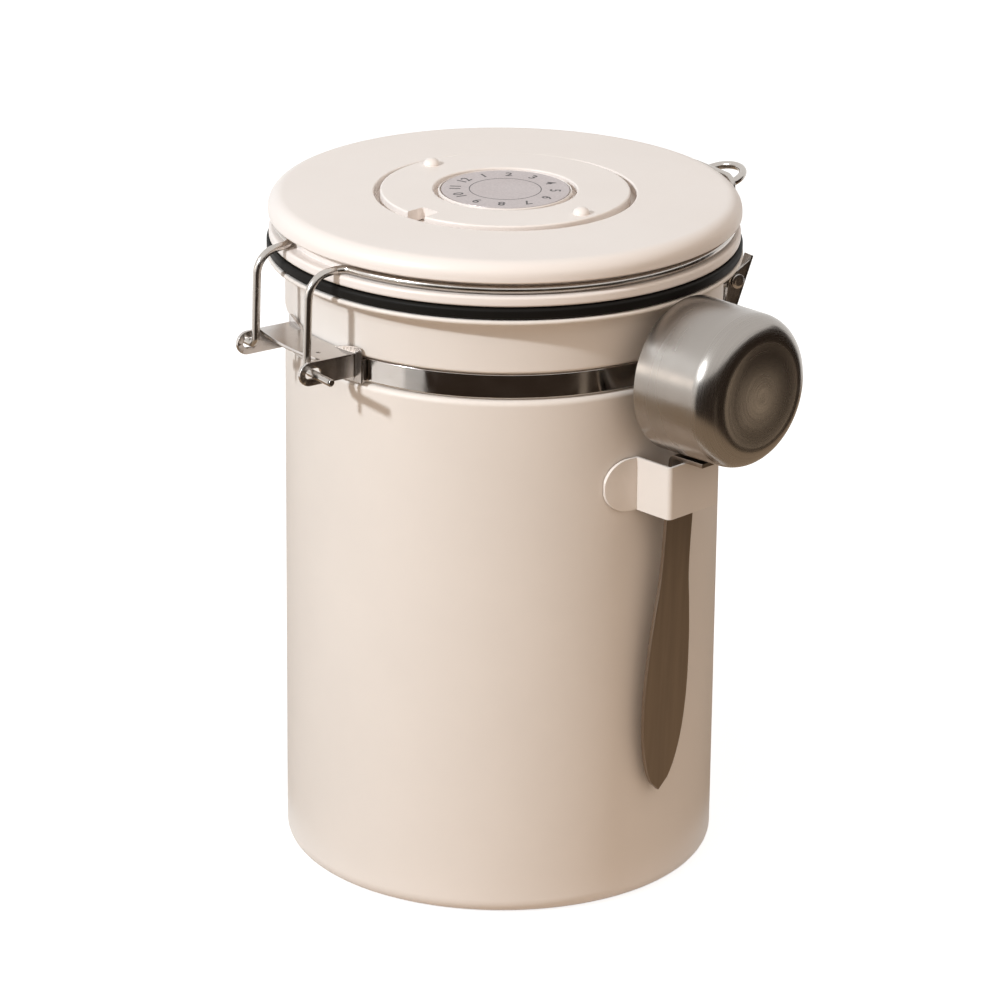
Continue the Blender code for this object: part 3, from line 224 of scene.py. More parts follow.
def bent_route(corners: Sequence[tuple[Vector, float]], steps: int = 14) -> list[Vector]:
    """Turns the corners of a wire's route into bends.

    Args:
        corners: Points with the bend radius at each; zero keeps the corner.
        steps: Straight stretches in each bend.

    Returns:
        The points along the wire.
    """
    route = [corners[0][0]]
    for (before, _), (corner, radius), (after, _) in zip(corners, corners[1:], corners[2:]):
        if radius == 0:
            route.append(corner)
            continue
        back = (before - corner).normalized()
        ahead = (after - corner).normalized()
        half = back.angle(ahead) / 2
        middle = corner + (back + ahead).normalized() * (radius / math.sin(half))
        start = corner + back * (radius / math.tan(half)) - middle
        end = corner + ahead * (radius / math.tan(half)) - middle
        axis, turn = start.cross(end), start.angle(end)
        for step in range(steps + 1):
            route.append(middle + Matrix.Rotation(turn * step / steps, 3, axis) @ start)
    route.append(corners[-1][0])
    return route


# Meshes


def flat_plane(z: float) -> Matrix:
    """Gives the plane of X and Y at a height."""
    return Matrix.Translation((0, 0, z))


def side_plane(x: float) -> Matrix:
    """Gives the plane of Y and Z at an x, whose normal is +X."""
    return Matrix(((0, 0, 1, x), (1, 0, 0, 0), (0, 1, 0, 0), (0, 0, 0, 1)))


def front_plane(y: float) -> Matrix:
    """Gives the plane of X and Z at a y, whose normal is -Y."""
    return Matrix(((1, 0, 0, 0), (0, 0, -1, y), (0, 1, 0, 0), (0, 0, 0, 1)))


def about_z(angle: float) -> Matrix:
    """Gives a turn about the can's axis, in degrees."""
    return Matrix.Rotation(math.radians(angle), 4, "Z")


def to_mesh(bm: bmesh.types.BMesh) -> bpy.types.Mesh:
    """Closes a bmesh and makes it a mesh.

    Args:
        bm: The bmesh, which is freed.

    Returns:
        A mesh with its doubles merged and its faces pointing out.
    """
    bmesh.ops.remove_doubles(bm, verts=bm.verts, dist=WELD)
    bmesh.ops.recalc_face_normals(bm, faces=bm.faces)
    mesh = bpy.data.meshes.new("shape")
    bm.to_mesh(mesh)
    bm.free()
    return mesh


def closed_up(mesh: bpy.types.Mesh) -> bpy.types.Mesh:
    """Caps the open ends of a mesh and points its faces out.

    Args:
        mesh: The mesh to close.

    Returns:
        The same mesh, closed.
    """
    bm = bmesh.new()
    bm.from_mesh(mesh)
    bmesh.ops.remove_doubles(bm, verts=bm.verts, dist=WELD)
    open_edges = [edge for edge in bm.edges if edge.is_boundary]
    if open_edges:
        bmesh.ops.holes_fill(bm, edges=open_edges, sides=0)
    bmesh.ops.recalc_face_normals(bm, faces=bm.faces)
    bm.to_mesh(mesh)
    bm.free()
    return mesh


def plate(outlines: Sequence[Sequence[Point]], plane: Matrix, thickness: float) -> bpy.types.Mesh:
    """Makes a flat plate with holes.

    Args:
        outlines: The edge first, then the edges of the holes.
        plane: The plane that they lie in.
        thickness: How far the plate rises along the plane's normal.

    Returns:
        The closed plate.
    """
    bm = bmesh.new()
    edges = []
    for outline in outlines:
        verts = [bm.verts.new(plane @ Vector((u, v, 0))) for u, v in outline]
        edges += [bm.edges.new(pair) for pair in zip(verts, verts[1:] + verts[:1])]
    bmesh.ops.triangle_fill(bm, use_beauty=True, edges=edges, normal=plane.to_3x3().col[2])
    raised = bmesh.ops.extrude_face_region(bm, geom=bm.faces[:])["geom"]
    lift = plane.to_3x3() @ Vector((0, 0, thickness))
    bmesh.ops.translate(bm, vec=lift, verts=[item for item in raised if isinstance(item, bmesh.types.BMVert)])
    mesh = to_mesh(bm)
    return mesh


def punch(outline: Sequence[Point], near_y: float, far_y: float) -> bpy.types.Mesh:
    """Makes a cutter through the side from an outline of X and Z.

    Args:
        outline: The cutter's outline.
        near_y: Depth that it runs past on the inside.
        far_y: Depth that it runs past on the outside.

    Returns:
        The cutter.
    """
    return plate([outline], front_plane(far_y + OVERRUN), far_y - near_y + 2 * OVERRUN)


def moved(mesh: bpy.types.Mesh, matrix: Matrix) -> bpy.types.Mesh:
    """Moves a mesh and gives it back."""
    mesh.transform(matrix)
    return mesh


def gathered(meshes: Sequence[bpy.types.Mesh]) -> bpy.types.Mesh:
    """Puts meshes that stay separate shells into one."""
    bm = bmesh.new()
    for mesh in meshes:
        bm.from_mesh(mesh)
    whole = bpy.data.meshes.new("shape")
    bm.to_mesh(whole)
    bm.free()
    return whole


def evaluated(holder: bpy.types.Object) -> bpy.types.Mesh:
    """Takes the finished mesh of an object with live modifiers and removes the object.

    Args:
        holder: The object, already linked to the scene.

    Returns:
        A plain mesh.
    """
    graph = bpy.context.evaluated_depsgraph_get()
    mesh = bpy.data.meshes.new_from_object(holder.evaluated_get(graph))
    holder.modifiers.clear()
    bpy.data.objects.remove(holder)
    return mesh


def on_bench(mesh: bpy.types.ID, name: str = "blank") -> bpy.types.Object:
    """Links a mesh or curve to the scene as an object for the time of one operation."""
    holder = bpy.data.objects.new(name, mesh)
    bpy.context.scene.collection.objects.link(holder)
    return holder


def combined(how: Join, first: bpy.types.Mesh, *others: bpy.types.Mesh) -> bpy.types.Mesh:
    """Joins, cuts or keeps the common part of solids.

    Args:
        how: The operation.
        first: The solid that the others work on, one after another.
        *others: The other solids.

    Returns:
        The result.
    """
    result = first
    for other in others:
        base, tool = on_bench(result), on_bench(other)
        boolean = base.modifiers.new("boolean", "BOOLEAN")
        boolean.operation = how.value
        boolean.solver = "EXACT"
        boolean.object = tool
        result = evaluated(base)
        bpy.data.objects.remove(tool)
    return result


def softened(mesh: bpy.types.Mesh, width: float, segments: int = 2) -> bpy.types.Mesh:
    """Breaks the sharp edges of a pressed or cut piece.

    Args:
        mesh: The piece.
        width: Width of the broken edge.
        segments: Faces across it.

    Returns:
        The piece with its edges rounded.
    """
    holder = on_bench(mesh)
    bevel = holder.modifiers.new("bevel", "BEVEL")
    bevel.width = width
    bevel.segments = segments
    bevel.limit_method = "ANGLE"
    bevel.angle_limit = math.radians(SHARP_ANGLE)
    bevel.use_clamp_overlap = False
    bevel.miter_outer = "MITER_ARC"
    return evaluated(holder)


def smoothed(mesh: bpy.types.Mesh) -> bpy.types.Mesh:
    """Shades a mesh smooth between its sharp edges, with flats that stay flat.

    Args:
        mesh: The finished shape.

    Returns:
        The shape with its shading weighted by face area.
    """
    mesh.shade_smooth()
    mesh.set_sharp_from_angle(angle=math.radians(SHARP_ANGLE))
    holder = on_bench(mesh)
    weighted = holder.modifiers.new("weighted", "WEIGHTED_NORMAL")
    weighted.keep_sharp = True
    return evaluated(holder)


def mark_rub(mesh: bpy.types.Mesh) -> None:
    """Stores how sharply each point's surface turns outwards, for wear along the edges.

    Args:
        mesh: The shape, which gains a point attribute named rub.
    """
    bm = bmesh.new()
    bm.from_mesh(mesh)
    layer = bm.verts.layers.float.new("rub")
    for edge in bm.edges:
        if len(edge.link_faces) != 2:
            continue
        angle = edge.calc_face_angle_signed(0.0)
        if angle <= 0:
            continue
        spread = (edge.link_faces[0].calc_center_median() - edge.link_faces[1].calc_center_median()).length
        sharpness = min(1.0, angle / max(spread, WELD) * 0.35 * MM)
        for vert in edge.verts:
            vert[layer] = max(vert[layer], sharpness)
    bm.to_mesh(mesh)
    bm.free()


# Node trees


class Wiring:
    """Adds nodes to one tree and joins their sockets."""

    def __init__(self, tree: bpy.types.NodeTree) -> None:
        """Keeps the tree to work on."""
        self.tree = tree

    def node(self, kind: str, inputs: Mapping[Any, Any] | None = None, **settings: Any) -> bpy.types.Node:
        """Adds one node.

        Args:
            kind: The node's type.
            inputs: Values or output sockets, by input name or number.
            **settings: Properties of the node.

        Returns:
            The new node.
        """
        node = self.tree.nodes.new(kind)
        for key, value in settings.items():
            setattr(node, key, value)
        for key, value in (inputs or {}).items():
            if isinstance(value, bpy.types.NodeSocket):
                self.tree.links.new(value, node.inputs[key])
            else:
                node.inputs[key].default_value = value
        return node

    def math(self, operation: str, *values: Any) -> bpy.types.NodeSocket:
        """Adds a Math node and gives its result."""
        return self.node("ShaderNodeMath", dict(enumerate(values)), operation=operation).outputs[0]


class GeometryTree:
    """A Geometry Nodes tree that is made once and run on many base meshes."""

    name = "tree"
    sizes: tuple[tuple[str, str], ...] = ()

    def __init__(self) -> None:
        """Makes the tree with its named inputs."""
        self.tree = bpy.data.node_groups.new(self.name, "GeometryNodeTree")
        self.tree.interface.new_socket("Geometry", in_out="INPUT", socket_type="NodeSocketGeometry")
        for name, kind in self.sizes:
            self.tree.interface.new_socket(name, in_out="INPUT", socket_type=kind)
        self.tree.interface.new_socket("Finish", in_out="INPUT", socket_type="NodeSocketMaterial")
        self.tree.interface.new_socket("Geometry", in_out="OUTPUT", socket_type="NodeSocketGeometry")
        wiring = Wiring(self.tree)
        given = wiring.node("NodeGroupInput").outputs
        shape = self.build(wiring, given)
        real = wiring.node("GeometryNodeRealizeInstances", {"Geometry": shape}).outputs[0]
        dressed = wiring.node("GeometryNodeSetMaterial", {"Geometry": real, "Material": given["Finish"]})
        wiring.node("NodeGroupOutput", {"Geometry": dressed.outputs[0]})

    def build(self, wiring: Wiring, given: Any) -> bpy.types.NodeSocket:
        """Wires the nodes between the inputs and the finished geometry."""
        raise NotImplementedError

    def run(self, base: bpy.types.Mesh, finish: bpy.types.Material, **sizes: Any) -> bpy.types.Mesh:
        """Runs the tree on a base mesh.

        Args:
            base: The mesh that the tree works from.
            finish: The material that it sets.
            **sizes: Values of the named inputs, with underscores for spaces.

        Returns:
            A plain mesh.
        """
        holder = on_bench(base, self.name)
        modifier = holder.modifiers.new(self.name, "NODES")
        modifier.node_group = self.tree
        values = {name.replace("_", " "): value for name, value in sizes.items()}
        values["Finish"] = finish
        for item in self.tree.interface.items_tree:
            if item.item_type == "SOCKET" and item.in_out == "INPUT" and item.name in values:
                modifier[item.identifier] = values[item.name]
        return evaluated(holder)


class TurnedWall(GeometryTree):
    """Spins an ordered outline about Z: the can, its lid's rings and every other turned piece."""

    name = "turned_wall"
    sizes = (("Steps", "NodeSocketInt"), ("Start", "NodeSocketFloat"), ("Sweep", "NodeSocketFloat"))

    def build(self, wiring: Wiring, given: Any) -> bpy.types.NodeSocket:
        """Lays a grid over the sweep and takes each row's place from the outline."""
        points = wiring.node("GeometryNodeAttributeDomainSize", {"Geometry": given["Geometry"]}).outputs[0]
        columns = wiring.math("ADD", given["Steps"], 1.0)
        grid = wiring.node("GeometryNodeMeshGrid", {"Size X": 1.0, "Size Y": 1.0, "Vertices X": columns,
                                                    "Vertices Y": points})
        place = wiring.node("GeometryNodeInputPosition").outputs[0]
        split = wiring.node("ShaderNodeSeparateXYZ", {0: place}).outputs
        across = wiring.math("ADD", split["X"], 0.5)
        row = wiring.math("MULTIPLY", wiring.math("ADD", split["Y"], 0.5),
                          wiring.math("SUBTRACT", points, 1.0))
        sample = wiring.node("GeometryNodeSampleIndex", data_type="FLOAT_VECTOR")
        wiring.tree.links.new(given["Geometry"], sample.inputs["Geometry"])
        wiring.tree.links.new(wiring.node("GeometryNodeInputPosition").outputs[0], sample.inputs["Value"])
        wiring.tree.links.new(wiring.math("ROUND", row), sample.inputs["Index"])
        outline = wiring.node("ShaderNodeSeparateXYZ", {0: sample.outputs[0]}).outputs
        angle = wiring.math("ADD", given["Start"], wiring.math("MULTIPLY", across, given["Sweep"]))
        x = wiring.math("MULTIPLY", outline["X"], wiring.math("COSINE", angle))
        y = wiring.math("MULTIPLY", outline["X"], wiring.math("SINE", angle))
        target = wiring.node("ShaderNodeCombineXYZ", {"X": x, "Y": y, "Z": outline["Z"]}).outputs[0]
        mapped = wiring.node("GeometryNodeStoreNamedAttribute", data_type="FLOAT2", domain="CORNER")
        wiring.tree.links.new(grid.outputs["Mesh"], mapped.inputs["Geometry"])
        wiring.tree.links.new(grid.outputs["UV Map"], mapped.inputs["Value"])
        mapped.inputs["Name"].default_value = "lathe"
        spun = wiring.node("GeometryNodeSetPosition", {"Geometry": mapped.outputs[0], "Position": target})
        return wiring.node("GeometryNodeMergeByDistance",
                           {"Geometry": spun.outputs[0], "Distance": WELD}).outputs[0]


class RoundWire(GeometryTree):
    """Sweeps a round section along a route: the lid's wire and the latch's link."""

    name = "round_wire"
    sizes = (("Thickness", "NodeSocketFloat"), ("Sides", "NodeSocketInt"))

    def build(self, wiring: Wiring, given: Any) -> bpy.types.NodeSocket:
        """Makes the route a curve and follows it with a circle, thinner where the ends are broken."""
        route = wiring.node("GeometryNodeMeshToCurve", {"Mesh": given["Geometry"]}).outputs[0]
        circle = wiring.node("GeometryNodeCurvePrimitiveCircle",
                             {"Resolution": given["Sides"],
                              "Radius": wiring.math("DIVIDE", given["Thickness"], 2.0)})
        girth = wiring.node("GeometryNodeInputNamedAttribute", {"Name": "girth"},
                            data_type="FLOAT").outputs[0]
        return wiring.node("GeometryNodeCurveToMesh", {"Curve": route, "Profile Curve": circle.outputs[0],
                                                       "Scale": girth, "Fill Caps": True}).outputs[0]


class RingOfCopies(GeometryTree):
    """Sets copies of one piece round the axis: screws, rivets, vents and perforations."""

    name = "ring_of_copies"
    sizes = (("Count", "NodeSocketInt"), ("Ring", "NodeSocketFloat"), ("First", "NodeSocketFloat"))

    def build(self, wiring: Wiring, given: Any) -> bpy.types.NodeSocket:
        """Puts points at even turns and the piece on each of them."""
        index = wiring.node("GeometryNodeInputIndex").outputs[0]
        part = wiring.math("DIVIDE", wiring.math("MULTIPLY", index, math.tau), given["Count"])
        angle = wiring.math("ADD", part, given["First"])
        x = wiring.math("MULTIPLY", given["Ring"], wiring.math("COSINE", angle))
        y = wiring.math("MULTIPLY", given["Ring"], wiring.math("SINE", angle))
        place = wiring.node("ShaderNodeCombineXYZ", {"X": x, "Y": y, "Z": 0.0}).outputs[0]
        points = wiring.node("GeometryNodePoints", {"Count": given["Count"], "Position": place}).outputs[0]
        turn = wiring.node("ShaderNodeCombineXYZ", {"X": 0.0, "Y": 0.0, "Z": angle}).outputs[0]
        return wiring.node("GeometryNodeInstanceOnPoints", {"Points": points, "Instance": given["Geometry"],
                                                            "Rotation": turn}).outputs[0]


class NumberRing(GeometryTree):
    """Sets the numerals of a collection round the axis, tops outwards."""

    name = "number_ring"
    sizes = (("Numerals", "NodeSocketCollection"), ("Count", "NodeSocketInt"), ("Ring", "NodeSocketFloat"),
             ("Height", "NodeSocketFloat"), ("First", "NodeSocketFloat"), ("Step", "NodeSocketFloat"))

    def build(self, wiring: Wiring, given: Any) -> bpy.types.NodeSocket:
        """Takes one numeral from the collection for each point of the ring."""
        index = wiring.node("GeometryNodeInputIndex").outputs[0]
        angle = wiring.math("ADD", wiring.math("MULTIPLY", index, given["Step"]), given["First"])
        x = wiring.math("MULTIPLY", wiring.math("MULTIPLY", given["Ring"], wiring.math("SINE", angle)), -1.0)
        y = wiring.math("MULTIPLY", given["Ring"], wiring.math("COSINE", angle))
        place = wiring.node("ShaderNodeCombineXYZ", {"X": x, "Y": y, "Z": given["Height"]}).outputs[0]
        points = wiring.node("GeometryNodePoints", {"Count": given["Count"], "Position": place}).outputs[0]
        stock = wiring.node("GeometryNodeCollectionInfo", {"Collection": given["Numerals"],
                                                           "Separate Children": True, "Reset Children": True})
        turn = wiring.node("ShaderNodeCombineXYZ", {"X": 0.0, "Y": 0.0, "Z": angle}).outputs[0]
        return wiring.node("GeometryNodeInstanceOnPoints",
                           {"Points": points, "Instance": stock.outputs[0], "Pick Instance": True,
                            "Instance Index": index, "Rotation": turn}).outputs[0]


# Shader groups


class ShaderGroup:
    """A shader node group that is made once and placed in each material with its own values."""

    name = "group"
    takes: tuple[tuple[str, str], ...] = ()
    gives: tuple[tuple[str, str], ...] = ()
    _made: dict[str, bpy.types.NodeTree] = {}

    @classmethod
    def tree(cls) -> bpy.types.NodeTree:
        """Gives the group's tree and makes it the first time."""
        if cls.name not in cls._made:
            tree = bpy.data.node_groups.new(cls.name, "ShaderNodeTree")
            for name, kind in cls.takes:
                tree.interface.new_socket(name, in_out="INPUT", socket_type=kind)
            for name, kind in cls.gives:
                tree.interface.new_socket(name, in_out="OUTPUT", socket_type=kind)
            wiring = Wiring(tree)
            results = cls.build(wiring, wiring.node("NodeGroupInput").outputs)
            wiring.node("NodeGroupOutput", results)
            cls._made[cls.name] = tree
        return cls._made[cls.name]

    @classmethod
    def build(cls, wiring: Wiring, given: Any) -> dict[str, bpy.types.NodeSocket]:
        """Wires the group and gives its outputs by name."""
        raise NotImplementedError

    @classmethod
    def place(cls, wiring: Wiring, **inputs: Any) -> Any:
        """Adds the group to a material.

        Args:
            wiring: The material's wiring.
            **inputs: The group's inputs, with underscores for spaces.

        Returns:
            The group node's outputs.
        """
        node = wiring.node("ShaderNodeGroup", node_tree=cls.tree())
        for key, value in inputs.items():
            socket = node.inputs[key.replace("_", " ")]
            if isinstance(value, bpy.types.NodeSocket):
                wiring.tree.links.new(value, socket)
            else:
                socket.default_value = value
        return node.outputs


class FineGrain(ShaderGroup):
    """Small even bumps: sprayed coat, moulded skin and silicone."""

    name = "fine_grain"
    takes = (("Fineness", "NodeSocketFloat"), ("Pits", "NodeSocketFloat"))
    gives = (("Height", "NodeSocketFloat"),)

    @classmethod
    def build(cls, wiring: Wiring, given: Any) -> dict[str, bpy.types.NodeSocket]:
        """Adds rounded pits to a layered noise."""
        place = wiring.node("ShaderNodeTexCoord").outputs["Object"]
        noise = wiring.node("ShaderNodeTexNoise", {"Vector": place, "Scale": given["Fineness"], "Detail": 3.0,
                                                   "Roughness": 0.55}).outputs[0]
        cells = wiring.node("ShaderNodeTexVoronoi", {"Vector": place, "Scale": given["Fineness"]},
                            feature="SMOOTH_F1").outputs["Distance"]
        height = wiring.math("ADD", noise, wiring.math("MULTIPLY", cells, given["Pits"]))
        return {"Height": height}


class SoftMottle(ShaderGroup):
    """Slow drifts of colour over a surface."""

    name = "soft_mottle"
    takes = (("Colour", "NodeSocketColor"), ("Shade", "NodeSocketColor"), ("Fineness", "NodeSocketFloat"))
    gives = (("Colour", "NodeSocketColor"),)

    @classmethod
    def build(cls, wiring: Wiring, given: Any) -> dict[str, bpy.types.NodeSocket]:
        """Mixes two near colours by a slow noise."""
        place = wiring.node("ShaderNodeTexCoord").outputs["Object"]
        noise = wiring.node("ShaderNodeTexNoise", {"Vector": place, "Scale": given["Fineness"], "Detail": 4.0,
                                                   "Roughness": 0.6}).outputs[0]
        share = wiring.node("ShaderNodeMapRange",
                            {"Value": noise, "From Min": 0.3, "From Max": 0.7}).outputs[0]
        mix = wiring.node("ShaderNodeMix", data_type="RGBA")
        wiring.tree.links.new(share, mix.inputs["Factor"])
        wiring.tree.links.new(given["Colour"], mix.inputs[6])
        wiring.tree.links.new(given["Shade"], mix.inputs[7])
        return {"Colour": mix.outputs[2]}


class BrushLines(ShaderGroup):
    """Fine parallel lines left by a brush or a drawing die."""

    name = "brush_lines"
    takes = (("Place", "NodeSocketVector"), ("Stretch", "NodeSocketVector"))
    gives = (("Height", "NodeSocketFloat"), ("Streak", "NodeSocketFloat"))

    @classmethod
    def build(cls, wiring: Wiring, given: Any) -> dict[str, bpy.types.NodeSocket]:
        """Stretches two noises along the lines: one fine, one in broad streaks."""
        drawn = wiring.node("ShaderNodeVectorMath", {0: given["Place"], 1: given["Stretch"]},
                            operation="MULTIPLY")
        fine = wiring.node("ShaderNodeTexNoise", {"Vector": drawn.outputs[0], "Scale": 1.0, "Detail": 5.0,
                                                  "Roughness": 0.75}).outputs[0]
        broad = wiring.node("ShaderNodeTexNoise", {"Vector": drawn.outputs[0], "Scale": 0.13, "Detail": 2.0,
                                                   "Roughness": 0.5}).outputs[0]
        return {"Height": fine, "Streak": broad}


class EdgeRub(ShaderGroup):
    """Where edges and rims are rubbed by use, broken up so that the wear isn't even."""

    name = "edge_rub"
    takes = (("Amount", "NodeSocketFloat"), ("Fineness", "NodeSocketFloat"))
    gives = (("Mask", "NodeSocketFloat"),)

    @classmethod
    def build(cls, wiring: Wiring, given: Any) -> dict[str, bpy.types.NodeSocket]:
        """Multiplies the stored sharpness of the surface by a noise."""
        sharp = wiring.node("ShaderNodeAttribute", attribute_name="rub").outputs["Fac"]
        place = wiring.node("ShaderNodeTexCoord").outputs["Object"]
        noise = wiring.node("ShaderNodeTexNoise", {"Vector": place, "Scale": given["Fineness"],
                                                   "Detail": 4.0}).outputs[0]
        patch = wiring.node("ShaderNodeMapRange",
                            {"Value": noise, "From Min": 0.35, "From Max": 0.65}).outputs[0]
        worn = wiring.math("MULTIPLY", wiring.math("MULTIPLY", sharp, patch), given["Amount"])
        return {"Mask": worn}


class Smudge(ShaderGroup):
    """Handling marks: patches where a surface is a little duller or shinier."""

    name = "smudge"
    takes = (("Low", "NodeSocketFloat"), ("High", "NodeSocketFloat"), ("Fineness", "NodeSocketFloat"))
    gives = (("Roughness", "NodeSocketFloat"),)

    @classmethod
    def build(cls, wiring: Wiring, given: Any) -> dict[str, bpy.types.NodeSocket]:
        """Maps a warped noise between the two roughness values."""
        place = wiring.node("ShaderNodeTexCoord").outputs["Object"]
        noise = wiring.node("ShaderNodeTexNoise", {"Vector": place, "Scale": given["Fineness"], "Detail": 3.0,
                                                   "Distortion": 0.6}).outputs[0]
        value = wiring.node("ShaderNodeMapRange", {"Value": noise, "From Min": 0.3, "From Max": 0.7,
                                                   "To Min": given["Low"],
                                                   "To Max": given["High"]}).outputs[0]
        return {"Roughness": value}


# Finishes


def scaled(colour: Colour, share: float) -> tuple[float, float, float, float]:
    """Gives a colour made darker or lighter, with full alpha."""
    return (colour[0] * share, colour[1] * share, colour[2] * share, 1.0)


@dataclass(frozen=True)
class Drift:
    """How a colour drifts over a surface: towards which share of itself, and how finely."""

    share: float
    fineness: float


@dataclass(frozen=True)
class Wear:
    """How edges are rubbed: how much, how finely, and what shows there."""

    amount: float
    fineness: float
    share: float = 1.0
    bare: Colour | None = None


@dataclass(frozen=True)
class Sheen:
    """How rough a surface is: its least, its most, and how fine the smudges between them are."""

    low: float
    high: float
    fineness: float


@dataclass(frozen=True)
class Skin:
    """What a surface feels like: how fine its grain is, the share of pits in it and its depth."""

    fineness: float
    pits: float
    depth: float


@dataclass(frozen=True)
class Finish:
    """What every finish has: a name, the record's slot and a colour."""

    name: str
    slot: Slot
    colour: Colour

    def material(self) -> bpy.types.Material:
        """Gives the finish as a material and makes it the first time."""
        known = bpy.data.materials.get(self.name)
        if known:
            return known
        material = bpy.data.materials.new(self.name)
        material.use_nodes = True
        material.diffuse_color = (*self.colour, 1.0)
        shader = material.node_tree.nodes["Principled BSDF"]
        self.wire_up(Wiring(material.node_tree), shader)
        return material

    def wire_up(self, wiring: Wiring, shader: bpy.types.Node) -> None:
        """Sets the shader and wires what varies over the surface."""
        raise NotImplementedError

    def worn(self, wiring: Wiring, under: bpy.types.NodeSocket, wear: Wear) -> bpy.types.NodeSocket:
        """Lays the colour of rubbed edges over another."""
        mask = EdgeRub.place(wiring, Amount=wear.amount, Fineness=wear.fineness)["Mask"]
        shown = (*wear.bare, 1.0) if wear.bare else scaled(self.colour, wear.share)
        return self.mixed(wiring, mask, under, shown)

    @staticmethod
    def bump(wiring: Wiring, shader: bpy.types.Node, height: bpy.types.NodeSocket, depth: float) -> None:
        """Feeds a height in metres of depth to the shader's normal."""
        bump = wiring.node("ShaderNodeBump", {"Height": height, "Strength": 1.0, "Distance": depth})
        wiring.tree.links.new(bump.outputs[0], shader.inputs["Normal"])

    @staticmethod
    def mixed(wiring: Wiring, share: Any, first: Any, second: Any) -> bpy.types.NodeSocket:
        """Mixes two colours by a share."""
        mix = wiring.node("ShaderNodeMix", {"Factor": share, 6: first, 7: second}, data_type="RGBA")
        return mix.outputs[2]


@dataclass(frozen=True)
class EvenFinish(Finish):
    """A surface without a direction: coat, plastic, silicone, drawn steel and print."""

    drift: Drift
    sheen: Sheen
    wear: Wear | None = None
    skin: Skin | None = None
    metallic: float = 0.0
    specular: float = 0.5

    def wire_up(self, wiring: Wiring, shader: bpy.types.Node) -> None:
        """Sets the colour's drift, the rubbed edges, the smudges and the grain."""
        tint = SoftMottle.place(wiring, Colour=(*self.colour, 1.0),
                                Shade=scaled(self.colour, self.drift.share),
                                Fineness=self.drift.fineness)["Colour"]
        if self.wear:
            tint = self.worn(wiring, tint, self.wear)
        wiring.tree.links.new(tint, shader.inputs["Base Color"])
        shader.inputs["Metallic"].default_value = self.metallic
        shader.inputs["Specular IOR Level"].default_value = self.specular
        dull = Smudge.place(wiring, Low=self.sheen.low, High=self.sheen.high,
                            Fineness=self.sheen.fineness)["Roughness"]
        wiring.tree.links.new(dull, shader.inputs["Roughness"])
        if self.skin:
            grain = FineGrain.place(wiring, Fineness=self.skin.fineness, Pits=self.skin.pits)["Height"]
            self.bump(wiring, shader, grain, self.skin.depth)


@dataclass(frozen=True)
class BrushedSteel(Finish):
    """Steel brushed in one direction, so that its reflections spread across the lines."""

    grain: Grain
    stretch: tuple[float, float, float]
    roughness: tuple[float, float]
    depth: float
    streak: float = 0.82
    streak_range: tuple[float, float] = (0.3, 0.7)
    wear: Wear = Wear(amount=0.5, fineness=300.0, share=1.15)

    def wire_up(self, wiring: Wiring, shader: bpy.types.Node) -> None:
        """Sets the steel's lines, streaks and edges."""
        if self.grain is Grain.ROUND_THE_AXIS:
            place = wiring.node("ShaderNodeUVMap", uv_map="lathe").outputs[0]
        else:
            place = wiring.node("ShaderNodeTexCoord").outputs["Object"]
        lines = BrushLines.place(wiring, Place=place, Stretch=self.stretch)
        shade = self.mixed(wiring, lines["Streak"], (*self.colour, 1.0), scaled(self.colour, self.streak))
        wiring.tree.links.new(self.worn(wiring, shade, self.wear), shader.inputs["Base Color"])
        shader.inputs["Metallic"].default_value = 1.0
        least, most = self.streak_range
        low, high = self.roughness
        dull = wiring.node("ShaderNodeMapRange",
                           {"Value": lines["Streak"], "From Min": least, "From Max": most,
                            "To Min": low, "To Max": high}).outputs[0]
        wiring.tree.links.new(dull, shader.inputs["Roughness"])
        self.bump(wiring, shader, lines["Height"], self.depth)


def silicone(name: str, slot: Slot, colour: Colour) -> EvenFinish:
    """Gives soft silicone: dull, with dust-dulled patches and a matt skin."""
    return EvenFinish(name, slot, colour, Drift(share=1.35, fineness=60.0),
                      Sheen(low=0.45, high=0.62, fineness=55.0),
                      skin=Skin(fineness=2400.0, pits=0.3, depth=0.006 * MM), specular=0.12)


def polished(name: str, colour: Colour, low: float, high: float) -> EvenFinish:
    """Gives bright drawn and pressed steel between two roughness values, with handling smudges."""
    return EvenFinish(name, Slot.BRIGHT_STEEL, colour, Drift(share=0.93, fineness=130.0),
                      Sheen(low, high, fineness=160.0), Wear(amount=0.35, fineness=420.0, share=1.12),
                      Skin(fineness=900.0, pits=0.1, depth=0.004 * MM), metallic=1.0)


def ink(name: str, slot: Slot, colour: Colour) -> EvenFinish:
    """Gives screen-printed ink, worn thin in places."""
    return EvenFinish(name, slot, colour, Drift(share=1.9, fineness=900.0),
                      Sheen(low=0.4, high=0.6, fineness=400.0))


# Sprayed and baked coat on steel, with a fine even grain and edges rubbed a little lighter
COAT = EvenFinish("can_coat_finish", Slot.CAN_COAT, (0.80, 0.735, 0.68), Drift(share=0.965, fineness=26.0),
                  Sheen(low=0.40, high=0.50, fineness=22.0),
                  Wear(amount=0.55, fineness=240.0, bare=(0.93, 0.87, 0.82)),
                  Skin(fineness=2600.0, pits=0.5, depth=0.012 * MM), specular=0.45)
